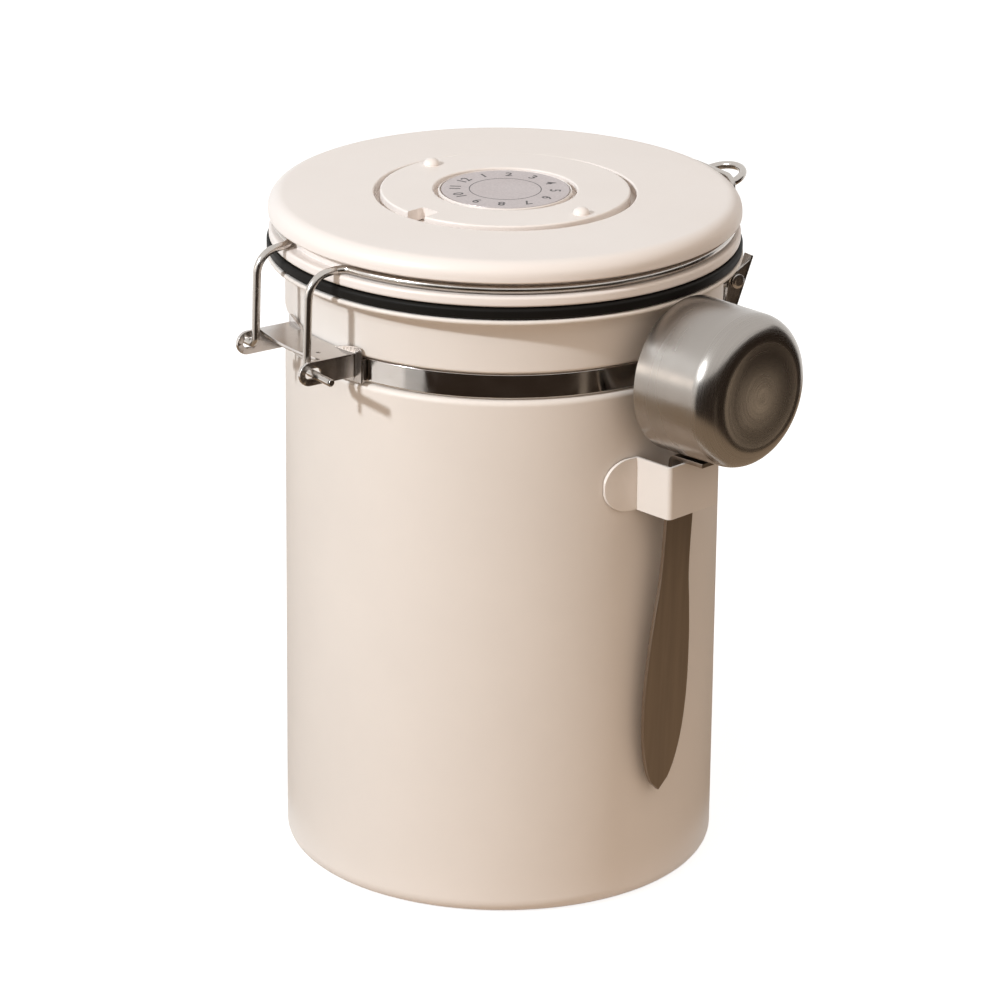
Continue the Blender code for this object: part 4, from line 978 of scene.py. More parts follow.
# Satin moulded plastic with a faint grain and cloudy handling marks
PLASTIC = EvenFinish("lid_plastic_finish", Slot.LID_PLASTIC, (0.88, 0.81, 0.765),
                     Drift(share=0.97, fineness=18.0), Sheen(low=0.30, high=0.42, fineness=30.0),
                     Wear(amount=0.3, fineness=300.0, share=1.06),
                     Skin(fineness=3400.0, pits=0.2, depth=0.006 * MM))
RUBBER = silicone("black_silicone_finish", Slot.SILICONE, (0.008, 0.007, 0.006))
CLEAR_RUBBER = silicone("pale_silicone_finish", Slot.CLEAR_SILICONE, (0.60, 0.60, 0.57))
BRIGHT = polished("bright_steel_finish", (0.74, 0.71, 0.68), 0.07, 0.17)
DRAWN_WIRE = polished("drawn_wire_finish", (0.56, 0.52, 0.48), 0.16, 0.28)
FOLDED_PLATE = polished("folded_plate_finish", (0.60, 0.56, 0.53), 0.14, 0.26)
# The scoop's brushed steel: the cup's colour is partly the steel's own, lowered to paint darker reflections;
# the blade's colour is darkened and warmed to brown, which is painted shade and painted dark reflection
# rather than the steel's own colour
CUP_STEEL = BrushedSteel("cup_steel_finish", Slot.BRUSHED_STEEL, (0.43, 0.395, 0.36), Grain.ROUND_THE_AXIS,
                         stretch=(14.0, 1300.0, 1.0), roughness=(0.22, 0.29), depth=0.0025 * MM)
SHADED_BLADE_STEEL = BrushedSteel("blade_steel_painted_shade_finish", Slot.BRUSHED_STEEL, (0.32, 0.26, 0.21), Grain.ALONG_Z,
                           stretch=(5200.0, 5200.0, 60.0), roughness=(0.28, 0.36), depth=0.004 * MM)
# A thin satin metal plate with a fine speckle under its clear varnish
SILVER_PRINT = EvenFinish("printed_metal_finish", Slot.PRINTED_METAL, (0.60, 0.53, 0.52),
                          Drift(share=0.84, fineness=1500.0), Sheen(low=0.34, high=0.44, fineness=90.0),
                          skin=Skin(fineness=3000.0, pits=0.2, depth=0.005 * MM), metallic=0.85)
DARK_INK = ink("dark_ink_finish", Slot.PRINTED_METAL, (0.045, 0.040, 0.040))
DAY_INK = ink("day_ink_finish", Slot.LID_PLASTIC, (0.10, 0.085, 0.075))


# The bench: trees and tools that every sub-assembly uses


class Workshop:
    """Holds the Geometry Nodes trees and puts finished pieces into the scene."""

    def __init__(self) -> None:
        """Makes the trees once."""
        self.wall = TurnedWall()
        self.wire_tree = RoundWire()
        self.ring = RingOfCopies()
        self.numbers = NumberRing()
        self.triangles = 0

    def turned(self, outline: Sequence[Point], finish: Finish, steps: int = DIAL_STEPS, closed: bool = True,
               start: float = 0.0, sweep: float = FULL_TURN) -> bpy.types.Mesh:
        """Spins an outline about Z.

        Args:
            outline: Points as (radius, height), in order.
            finish: The finish that the tree sets.
            steps: Faces round the sweep.
            closed: Whether the outline closes on itself and not on the axis.
            start: First angle in degrees.
            sweep: Angle to spin through, in degrees.

        Returns:
            The closed turned mesh.
        """
        points = list(outline) + ([outline[0]] if closed else [])
        base = bpy.data.meshes.new("outline")
        edges = [(index, index + 1) for index in range(len(points) - 1)]
        base.from_pydata([(radius, 0.0, height) for radius, height in points], edges, [])
        mesh = self.wall.run(base, finish.material(), Steps=steps, Start=math.radians(start),
                             Sweep=math.radians(sweep))
        return closed_up(mesh)

    def rod(self, diameter: float, start: Sequence[float], end: Sequence[float], finish: Finish,
            steps: int = ROD_STEPS) -> bpy.types.Mesh:
        """Makes a round rod between two points."""
        start, end = Vector(start), Vector(end)
        length = (end - start).length
        radius = diameter / 2
        mesh = self.turned([(0, 0), (radius, 0), (radius, length), (0, length)], finish, steps, closed=False)
        turn = Vector((0, 0, 1)).rotation_difference(end - start).to_matrix().to_4x4()
        return moved(mesh, Matrix.Translation(start) @ turn)

    def wire(self, route: Sequence[Vector], diameter: float, finish: Finish,
             sides: int = WIRE_SIDES) -> bpy.types.Mesh:
        """Sweeps a round wire along a route, its ends broken.

        Args:
            route: Points along the wire.
            diameter: Its thickness.
            finish: The finish that the tree sets.
            sides: Faces round the wire.

        Returns:
            The closed wire.
        """
        trimmed = self.with_broken_ends(list(route), diameter)
        base = bpy.data.meshes.new("route")
        base.from_pydata([point for point, _ in trimmed], [(i, i + 1) for i in range(len(trimmed) - 1)], [])
        girth = base.attributes.new("girth", "FLOAT", "POINT")
        for place, (_, share) in zip(girth.data, trimmed):
            place.value = share
        mesh = self.wire_tree.run(base, finish.material(), Thickness=diameter, Sides=sides)
        return closed_up(mesh)

    @staticmethod
    def with_broken_ends(route: list[Vector], diameter: float) -> list[tuple[Vector, float]]:
        """Adds points near both ends where the wire thins to a broken edge.

        Args:
            route: Points along the wire.
            diameter: Its thickness.

        Returns:
            Points with the share of the thickness at each.
        """
        edge = diameter * BROKEN_SHARE
        parts: list[tuple[Vector, float]] = []
        for near, far in ((route[0], route[1]), (route[-1], route[-2])):
            way = (far - near).normalized()
            end = []
            for angle in (0.0, 30.0, 60.0, 90.0):
                across, along = polar(edge, angle)
                end.append((near + way * along, 1.0 - 2 * (across / diameter)))
            parts.append(end)
        middle = [(point, 1.0) for point in route[1:-1]]
        return parts[0] + middle + parts[1][::-1]

    def around(self, mesh: bpy.types.Mesh, count: int, ring: float, first: float,
               finish: Finish) -> bpy.types.Mesh:
        """Sets copies of a mesh at even turns round the axis.

        Args:
            mesh: One copy, modelled at the axis with its outward side along +X.
            count: How many copies.
            ring: Radius of the ring.
            first: Angle of the first copy from +X, in degrees.
            finish: The finish that the tree sets.

        Returns:
            All the copies in one mesh.
        """
        return self.ring.run(mesh, finish.material(), Count=count, Ring=ring, First=math.radians(first))

    def numerals(self, texts: Sequence[str], size: float, ring: float, height: float, first: float,
                 step: float, finish: Finish) -> bpy.types.Mesh:
        """Sets printed numerals round the axis, tops outwards.

        Args:
            texts: The numerals in order.
            size: Height of the type.
            ring: Radius of the ring through their middles.
            height: The surface that they are printed on.
            first: Turn of the first from +Y, in degrees.
            step: Turn from one to the next, in degrees.
            finish: The ink.

        Returns:
            All the numerals in one mesh.
        """
        stock = bpy.data.collections.new("numerals")
        bpy.context.scene.collection.children.link(stock)
        for number, text in enumerate(texts):
            curve = bpy.data.curves.new("numeral", "FONT")
            curve.body = text
            curve.size = size
            curve.align_x = "CENTER"
            curve.align_y = "CENTER"
            curve.resolution_u = 3
            curve.offset = size * TYPE_WEIGHT
            curve.extrude = TYPE_DEPTH
            holder = on_bench(curve)
            mesh = evaluated(holder)
            stock.objects.link(bpy.data.objects.new(f"numeral_{number:02d}", mesh))
        base = bpy.data.meshes.new("anchor")
        base.from_pydata([(0, 0, 0)], [], [])
        mesh = self.numbers.run(base, finish.material(), Numerals=stock, Count=len(texts), Ring=ring,
                                Height=height, First=math.radians(first), Step=math.radians(step))
        for item in list(stock.objects):
            bpy.data.objects.remove(item)
        bpy.data.collections.remove(stock)
        return mesh

    def place(self, name: str, mesh: bpy.types.Mesh, finish: Finish, body: Body,
              nodes: Sequence[str] = ()) -> None:
        """Puts one finished piece into the scene.

        Args:
            name: The piece's name.
            mesh: Its mesh, in the model's frame.
            finish: Its finish.
            body: The body that carries it.
            nodes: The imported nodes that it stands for.
        """
        mesh = smoothed(mesh)
        mark_rub(mesh)
        mesh.name = name
        mesh.materials.clear()
        mesh.materials.append(finish.material())
        piece = bpy.data.objects.new(name, mesh)
        bpy.context.scene.collection.objects.link(piece)
        if nodes:
            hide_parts(*nodes)
        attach(piece, body.value)
        count = sum(len(face.vertices) - 2 for face in mesh.polygons)
        self.triangles += count
        LOG.info("%s: %d triangles, rides on %s", name, count, body.value)


# Sub-assemblies


@dataclass
class Can:
    """The drawn steel can: beaded base, groove for the band, neck and rolled rim."""

    radius: float = 60.0 * MM
    wall: float = 0.8 * MM
    base_corner: float = 4.0 * MM
    shoulder_z: float = 149.2 * MM
    shoulder_round: float = 1.5 * MM
    groove_top: float = 156.9 * MM
    groove_depth: float = 2.1 * MM
    neck_round: float = 0.9 * MM
    flare_z: float = 167.5 * MM
    flare: float = 4.5 * MM
    rim_bead: float = 0.65 * MM
    crest_inset: float = 0.7 * MM
    bead_ring: float = 47.2 * MM
    bead_half: float = 2.7 * MM
    bead_top: float = 1.5 * MM
    bead_rise: float = 0.8 * MM
    throat_drop: float = 0.7 * MM
    shoulder_drop: float = 3.0 * MM

    def outline(self) -> list[Point]:
        """Draws the wall from the axis out along the outside and back along the inside.

        Returns:
            The outline, open at the axis.
        """
        seat = self.radius - self.groove_depth
        rim_low = self.flare_z + self.flare
        rim_r = self.radius + self.flare + self.rim_bead
        rim_top = rim_low + 2 * self.rim_bead
        inner = self.radius - self.wall
        throat = seat - self.wall
        low, high = self.bead_ring - self.bead_half, self.bead_ring + self.bead_half
        top_in, top_out = self.bead_ring - self.bead_top, self.bead_ring + self.bead_top
        soft = self.bead_rise
        rise = self.wall + self.bead_rise
        outside = [(0, 0, 0), (low, 0, soft), (top_in, self.bead_rise, soft), (top_out, self.bead_rise, soft),
                   (high, 0, soft), (self.radius, 0, self.base_corner),
                   (self.radius, self.shoulder_z, self.shoulder_round), (seat, self.shoulder_z, 0.4 * MM),
                   (seat, self.groove_top, 0.4 * MM), (self.radius, self.groove_top, self.neck_round),
                   (self.radius, rim_low, self.flare), (rim_r, rim_low, self.rim_bead),
                   (rim_r, rim_top, self.rim_bead),
                   (rim_r - self.rim_bead - self.crest_inset, rim_top, 0.3 * MM)]
        flare_mid = (self.radius + self.flare, self.flare_z)
        inner_flare = arc(flare_mid, self.flare + self.wall, 105.0, HALF_TURN, 14)
        inside = [(u, v, 0) for u, v in inner_flare]
        inside += [(inner, self.groove_top + self.neck_round, 1.0 * MM),
                   (throat, self.groove_top - self.wall, 0.8 * MM),
                   (throat, self.shoulder_z - self.throat_drop, 0.8 * MM),
                   (inner, self.shoulder_z - self.shoulder_drop, 1.2 * MM),
                   (inner, self.wall, self.base_corner - self.wall), (high, self.wall, soft),
                   (top_out, rise, soft), (top_in, rise, soft), (low, self.wall, soft), (0, self.wall, 0)]
        return rounded(outside + inside, 8)

    def build(self, shop: Workshop) -> None:
        """Spins the can and dresses it in its coat."""
        mesh = shop.turned(self.outline(), COAT, CAN_STEPS, closed=False)
        shop.place("can_shell", mesh, COAT, Body.CAN, ["can_body"])


@dataclass
class NeckBand:
    """The bright clamp band in the groove; its ends meet under the latch."""

    radius: float = 59.0 * MM
    wall: float = 0.8 * MM
    low: float = 149.75 * MM
    height: float = 6.6 * MM
    end_gap: float = 1.6 * MM
    edge: float = 0.25 * MM

    def build(self, shop: Workshop) -> None:
        """Spins the band's section round to the gap between its ends."""
        inner = self.radius - self.wall
        high = self.low + self.height
        section = [(inner, self.low, self.edge), (self.radius, self.low, self.edge),
                   (self.radius, high, self.edge), (inner, high, self.edge)]
        gap = math.degrees(self.end_gap / self.radius)
        mesh = shop.turned(rounded(section, 4), BRIGHT, CAN_STEPS, start=gap / 2 - QUARTER_TURN,
                           sweep=FULL_TURN - gap)
        shop.place("band", mesh, BRIGHT, Body.CAN, ["neck_band"])


@dataclass
class Bracket:
    """What the hinge's and the latch's folded brackets share: ears on a strip that hugs the band."""

    can_radius: float = 60.0 * MM
    strip_inner: float = 59.3 * MM
    strip_wall: float = 1.5 * MM
    strip_low: float = 149.95 * MM
    strip_high: float = 156.15 * MM
    strip_tab: float = 2.5 * MM
    thickness: float = 1.0 * MM
    edge: float = 0.16 * MM

    def strip(self, shop: Workshop, ear_x: float) -> bpy.types.Mesh:
        """Makes the strip that lies on the band.

        Args:
            shop: The workshop.
            ear_x: Where the ears stand; the strip runs past them on both sides.

        Returns:
            The strip.
        """
        outer = self.strip_inner + self.strip_wall
        section = [(self.strip_inner, self.strip_low), (outer, self.strip_low), (outer, self.strip_high),
                   (self.strip_inner, self.strip_high)]
        half = math.degrees(math.asin((ear_x + self.strip_tab) / outer))
        return shop.turned(section, FOLDED_PLATE, SCREW_STEPS, start=QUARTER_TURN - half, sweep=2 * half)

    def ear(self, x: float, pivot: Point, radius: float, hole: Sequence[Point]) -> bpy.types.Mesh:
        """Makes one upright ear with its pivot's hole.

        Args:
            x: The middle of the ear's thickness.
            pivot: The centre of its rounded end, as (y, z).
            radius: The radius of that end.
            hole: The hole's outline.

        Returns:
            The ear.
        """
        inside = abs(x) - self.thickness / 2
        foot = math.sqrt((self.can_radius + SEAT_GAP) ** 2 - (x - self.thickness / 2) ** 2)
        if inside < 0:
            raise ValueError("an ear stands off the middle")
        end = arc(pivot, radius, -QUARTER_TURN, QUARTER_TURN, 18)
        outline = [(foot, pivot[1] - radius), *end, (foot, pivot[1] + radius)]
        return plate([outline, hole], side_plane(x - self.thickness / 2), self.thickness)


@dataclass
class HingeBracket(Bracket):
    """The hinge's folded plate: two slotted ears and the bowed web that joins them."""

    ear_x: float = 15.5 * MM
    ear_radius: float = 3.3 * MM
    tip: float = 0.9 * MM
    axis: Point = (72.5 * MM, 154.6 * MM)
    hole_radius: float = 1.4 * MM
    slot_half: float = 1.0 * MM
    web_reach: float = 11.2 * MM
    web_bow: float = 1.6 * MM
    web_top: float = 157.9 * MM
    web_hole: Point = (-10.0 * MM, 67.1 * MM)
    web_hole_radius: float = 0.6 * MM
    back_half: float = 18.0 * MM
    back_low: float = 149.65 * MM
    back_high: float = 159.65 * MM
    back_dip: float = 3.4 * MM
    back_corner: float = 1.5 * MM
    web_steps: int = 32
    dip_steps: int = 12

    def build(self, shop: Workshop) -> None:
        """Folds the bracket from its ears, web and strip."""
        y, z = self.axis
        slot = [*arc((y - self.slot_half, z), self.hole_radius, QUARTER_TURN, QUARTER_TURN + HALF_TURN, 14),
                *arc((y + self.slot_half, z), self.hole_radius, -QUARTER_TURN, QUARTER_TURN, 14)]
        ears = [self.ear(x, (y + self.tip, z), self.ear_radius, slot) for x in (-self.ear_x, self.ear_x)]
        outer, back = [], []
        for step in range(self.web_steps + 1):
            x = self.ear_x * (2 * step / self.web_steps - 1)
            outer.append((x, self.can_radius + self.web_reach - self.web_bow * (x / self.ear_x) ** 2))
            back.append((x, math.sqrt((self.can_radius + 2 * SEAT_GAP) ** 2 - x ** 2)))
        hole = arc(self.web_hole, self.web_hole_radius, 0, FULL_TURN, 20)[:-1]
        web = plate([outer + back[::-1], hole], flat_plane(self.web_top - self.thickness), self.thickness)
        mesh = combined(Join.UNION, ears[0], ears[1], web, self.strip(shop, self.ear_x), self.back(shop))
        shop.place("hinge_plate", softened(mesh, self.edge), FOLDED_PLATE, Body.CAN, ["hinge_bracket"])

    def back(self, shop: Workshop) -> bpy.types.Mesh:
        """Makes the curved plate that lies on the can behind the ears, its upper edge dipping between them.

        Args:
            shop: The workshop.

        Returns:
            The plate.
        """
        inner = self.can_radius + SEAT_GAP
        section = [(inner, self.back_low), (inner + self.thickness, self.back_low),
                   (inner + self.thickness, self.back_high), (inner, self.back_high)]
        reach = math.degrees(math.asin((self.back_half + OVERRUN) / inner))
        ring = shop.turned(section, FOLDED_PLATE, FLAP_STEPS, start=QUARTER_TURN - reach, sweep=2 * reach)
        corner = (self.back_half - self.back_corner, self.back_high - self.back_corner)
        right = [(self.back_half, self.back_low - OVERRUN),
                 *arc(corner, self.back_corner, 0, QUARTER_TURN, 8)]
        for step in range(1, self.dip_steps + 1):
            x = corner[0] * (1 - step / self.dip_steps)
            dip = self.back_dip * (1 + math.cos(math.pi * x / corner[0])) / 2
            right.append((x, self.back_high - dip))
        outline = right + [(-x, z) for x, z in right[-2::-1]]
        return combined(Join.KEEP, ring, punch(outline, inner, inner + self.thickness))


@dataclass
class LatchBracket(Bracket):
    """The latch's folded plate: two ears that carry the lever's rivets."""

    ear_x: float = 12.5 * MM
    ear_radius: float = 1.9 * MM
    pivot: Point = (69.0 * MM, 155.0 * MM)
    rivet: float = 2.4 * MM
    rivet_head: float = 4.2 * MM
    rivet_rise: float = 0.6 * MM
    lever_x: float = 15.0 * MM

    def build(self, shop: Workshop) -> None:
        """Folds the bracket and sets the two rivets."""
        hole = arc(self.pivot, self.rivet / 2 + SEAT_GAP, 0, FULL_TURN, BORE_STEPS)[:-1]
        ears = [self.ear(x, self.pivot, self.ear_radius, hole) for x in (-self.ear_x, self.ear_x)]
        mesh = combined(Join.UNION, ears[0], ears[1], self.strip(shop, self.ear_x))
        mesh = moved(softened(mesh, self.edge), about_z(HALF_TURN))
        shop.place("latch_plate", mesh, FOLDED_PLATE, Body.CAN, ["latch_bracket"])
        shop.place("rivets", self.rivets(shop), FOLDED_PLATE, Body.CAN,
                   ["lever_rivet_left", "lever_rivet_right"])

    def rivets(self, shop: Workshop) -> bpy.types.Mesh:
        """Turns one domed rivet and sets it at both sides.

        Args:
            shop: The workshop.

        Returns:
            Both rivets in one mesh.
        """
        start = self.ear_x - self.thickness / 2 - SEAT_GAP
        seat = self.lever_x + SEAT_GAP
        end = seat + self.rivet_rise
        shank, head = self.rivet / 2, self.rivet_head / 2
        corners = [(0, start, 0), (shank, start, 0.15 * MM), (shank, seat, 0), (head, seat, 0.1 * MM),
                   (head, end - 0.25 * MM, 0.2 * MM), (head * 0.6, end, 0.8 * MM), (0, end, 0)]
        one = shop.turned(rounded(corners, 5), FOLDED_PLATE, SCREW_STEPS, closed=False)
        one = moved(one, Matrix.Rotation(math.radians(QUARTER_TURN), 4, "Y"))
        both = shop.around(one, 2, 0.0, 0.0, FOLDED_PLATE)
        return moved(both, Matrix.Translation((0, -self.pivot[0], self.pivot[1])))


@dataclass
class ScoopClip:
    """The coated channel on the can's side that holds the scoop's blade."""

    can_radius: float = 60.0 * MM
    turn: float = 100.4
    wall: float = 0.9 * MM
    half_width: float = 9.9 * MM
    reach: float = 72.5 * MM
    low: float = 115.3 * MM
    height: float = 14.9 * MM
    bend: float = 1.4 * MM
    tab_angle: float = 18.8
    edge: float = 0.14 * MM

    def build(self, shop: Workshop) -> None:
        """Bends the channel and rounds its two tabs."""
        lift = self.can_radius + SEAT_GAP

        def tab(radius: float, x: float) -> list[Point]:
            """Lists half of the section along the can, from the channel's wall to the tab's end."""
            start = math.degrees(math.asin(x / radius))
            return arc((0, 0), radius, QUARTER_TURN - start, QUARTER_TURN - self.tab_angle, 14)

        corner = (self.half_width - self.bend, self.reach - self.bend)
        outer = arc(corner, self.bend, QUARTER_TURN, 0, 8) + tab(lift + self.wall, self.half_width)
        inner = arc(corner, self.bend - self.wall, QUARTER_TURN, 0, 4)
        inner += tab(lift, self.half_width - self.wall)
        outline = [(-x, y) for x, y in outer[::-1]] + outer + inner[::-1] + [(-x, y) for x, y in inner]
        section = plate([outline], flat_plane(self.low), self.height)
        half = self.height / 2
        reach = (lift + self.wall) * math.sin(math.radians(self.tab_angle)) - half
        middle = self.low + half
        ends = [*arc((reach, middle), half, -QUARTER_TURN, QUARTER_TURN, BORE_STEPS),
                *arc((-reach, middle), half, QUARTER_TURN, QUARTER_TURN + HALF_TURN, BORE_STEPS)]
        mesh = combined(Join.KEEP, section, punch(ends, 0.0, self.reach))
        mesh = moved(softened(mesh, self.edge), about_z(self.turn))
        shop.place("clip", mesh, COAT, Body.CAN, ["scoop_clip"])


@dataclass
class Lid:
    """The lid's two mouldings, its screws and its gasket."""

    cover_radius: float = 64.65 * MM
    cover_z: float = 183.3 * MM
    cover_top: float = 188.9 * MM
    cover_round: float = 4.0 * MM
    foot_round: float = 0.6 * MM
    skin: float = 2.0 * MM
    skirt_inner: float = 58.75 * MM
    well_radius: float = 35.8 * MM
    well_floor: float = 186.0 * MM
    well_under: float = 184.7 * MM
    well_wall: float = 1.5 * MM
    hub_hole: float = 5.9 * MM
    flange_radius: float = 64.4 * MM
    flange_z: float = 176.8 * MM
    flange_top: float = 179.7 * MM
    flange_round: float = 0.8 * MM
    groove_radius: float = 60.75 * MM
    plug_radius: float = 55.2 * MM
    plug_wall: float = 2.2 * MM
    plug_z: float = 170.0 * MM
    floor_top: float = 172.0 * MM
    valve_hole: float = 15.3 * MM
    post_ring: float = 45.45 * MM
    post_radius: float = 3.2 * MM
    screw: float = 2.6 * MM
    screw_head: float = 5.4 * MM
    screw_head_height: float = 1.2 * MM
    screw_bite: float = 6.0 * MM
    gasket_radius: float = 65.0 * MM
    gasket_z: float = 173.6 * MM
    gasket_height: float = 2.9 * MM
    gasket_lip_z: float = 171.5 * MM
    gasket_lip_radius: float = 57.9 * MM
    first_post: float = 135.0
    plug_lip: float = 1.0 * MM
    plug_lip_height: float = 0.9 * MM
    shelf_rise: float = 2.0 * MM
    cross_arm: float = 1.5 * MM
    cross_half: float = 0.35 * MM
    cross_depth: float = 0.8 * MM
    day_size: float = 3.0 * MM
    day_ring: float = 31.2 * MM
    first_day: float = 10.5

    def build(self, shop: Workshop) -> None:
        """Builds the cover, the base, the gasket and the screws."""
        shop.place("cover", self.cover(shop), PLASTIC, Body.LID, ["lid_cover"])
        shop.place("inner_lid", self.base(shop), PLASTIC, Body.LID, ["lid_base"])
        shop.place("seal", self.gasket(shop), RUBBER, Body.LID, ["gasket"])
        names = [f"lid_screw_{number}" for number in (1, 2, 3, 4)]
        shop.place("lid_screws", self.screws(shop), BRIGHT, Body.LID, names)
        days = [str(day) for day in range(1, 32)]
        step = FULL_TURN / len(days)
        numbers = shop.numerals(days, self.day_size, self.day_ring, self.well_floor + INK_TOP,
                                self.first_day, -step, DAY_INK)
        shop.place("day_numbers", numbers, DAY_INK, Body.LID)

    def drills(self, shop: Workshop, diameter: float, low: float, high: float) -> bpy.types.Mesh:
        """Sets four rods on the ring of screws."""
        one = shop.rod(diameter, (0, 0, low), (0, 0, high), PLASTIC, BORE_STEPS)
        return shop.around(one, 4, self.post_ring, self.first_post, PLASTIC)

    def cover(self, shop: Workshop) -> bpy.types.Mesh:
        """Turns the bull-nosed top moulding with the dial's well and adds its screw posts.

        Args:
            shop: The workshop.

        Returns:
            The cover.
        """
        skin_z = self.cover_top - self.skin
        wall_r = self.well_radius + self.well_wall
        corners = [(self.hub_hole, self.well_under, 0.2 * MM), (wall_r, self.well_under, 0.3 * MM),
                   (wall_r, skin_z, 0.3 * MM), (self.skirt_inner, skin_z, 0.5 * MM),
                   (self.skirt_inner, self.cover_z, 0.3 * MM),
                   (self.cover_radius, self.cover_z, self.foot_round),
                   (self.cover_radius, self.cover_top, self.cover_round),
                   (self.well_radius, self.cover_top, 0.45 * MM),
                   (self.well_radius, self.well_floor, 0.25 * MM),
                   (self.hub_hole, self.well_floor, 0.2 * MM)]
        shell = shop.turned(rounded(corners, 12), PLASTIC, CAN_STEPS)
        posts = self.drills(shop, 2 * self.post_radius, self.floor_top + SEAT_GAP, skin_z + self.skin / 2)
        bores = self.drills(shop, self.screw + 2 * SEAT_GAP, self.floor_top - OVERRUN,
                            self.floor_top + self.screw_bite + 2 * SEAT_GAP)
        return combined(Join.CUT, combined(Join.UNION, shell, posts), bores)

    def base(self, shop: Workshop) -> bpy.types.Mesh:
        """Turns the inner lid: flange, wire groove, plug and floor.

        Args:
            shop: The workshop.

        Returns:
            The inner lid.
        """
        lip_r = self.plug_radius + self.plug_lip
        lip_z = self.plug_z + self.plug_lip_height
        inner = self.plug_radius - self.plug_wall
        shelf = self.flange_z + self.shelf_rise
        rim_z = self.cover_z - SEAT_GAP
        corners = [(self.valve_hole, self.floor_top, 0.2 * MM), (self.valve_hole, self.plug_z, 0.2 * MM),
                   (self.plug_radius - self.plug_lip, self.plug_z, 0.6 * MM),
                   (lip_r, lip_z - self.plug_lip_height / 2, 0.3 * MM),
                   (lip_r, lip_z, 0.15 * MM), (self.plug_radius, lip_z, 0.15 * MM),
                   (self.plug_radius, self.flange_z, 0.3 * MM),
                   (self.flange_radius, self.flange_z, self.flange_round),
                   (self.flange_radius, self.flange_top, self.flange_round),
                   (self.groove_radius, self.flange_top, 0.3 * MM), (self.groove_radius, rim_z, 0.3 * MM),
                   (self.skirt_inner, rim_z, 0.3 * MM), (self.skirt_inner, shelf, 0.3 * MM),
                   (inner, shelf, 0.4 * MM), (inner, self.floor_top, 0.5 * MM)]
        holes = self.drills(shop, self.screw + 2 * SEAT_GAP, self.plug_z - OVERRUN, self.floor_top + OVERRUN)
        return combined(Join.CUT, shop.turned(rounded(corners, 8), PLASTIC, CAN_STEPS), holes)

    def gasket(self, shop: Workshop) -> bpy.types.Mesh:
        """Turns the black ring with the lip that reaches into the neck."""
        bore = self.plug_radius + SEAT_GAP
        top = self.gasket_z + self.gasket_height
        corners = [(bore, self.gasket_lip_z, 0.4 * MM), (self.gasket_lip_radius, self.gasket_lip_z, 0.6 * MM),
                   (self.gasket_lip_radius, self.gasket_z, 0.3 * MM),
                   (self.gasket_radius, self.gasket_z, 0.8 * MM),
                   (self.gasket_radius, top, 0.8 * MM), (bore, top, 0.3 * MM)]
        return shop.turned(rounded(corners, 8), RUBBER, CAN_STEPS)

    def screws(self, shop: Workshop) -> bpy.types.Mesh:
        """Turns one pan-head screw, cuts its cross and sets four of them.

        Args:
            shop: The workshop.

        Returns:
            All four screws in one mesh.
        """
        seat = self.plug_z - SEAT_GAP
        head_z = seat - self.screw_head_height
        head, shank = self.screw_head / 2, self.screw / 2
        tip = self.floor_top + self.screw_bite
        corners = [(0, head_z, 0), (head, head_z, 0.55 * MM), (head, seat, 0.1 * MM), (shank, seat, 0.1 * MM),
                   (shank, tip, 0.4 * MM), (0, tip, 0)]
        one = shop.turned(rounded(corners, 6), BRIGHT, SCREW_STEPS, closed=False)
        arm, half = self.cross_arm, self.cross_half
        floor = head_z + self.cross_depth
        slot = [(-arm, -half), (arm, -half), (arm, half), (-arm, half)]
        cross = [plate([slot], flat_plane(head_z - OVERRUN), floor - head_z + OVERRUN),
                 plate([[(v, u) for u, v in slot[::-1]]], flat_plane(head_z - OVERRUN),
                       floor - head_z + OVERRUN)]
        cut = combined(Join.CUT, one, *cross)
        return shop.around(cut, 4, self.post_ring, self.first_post, BRIGHT)


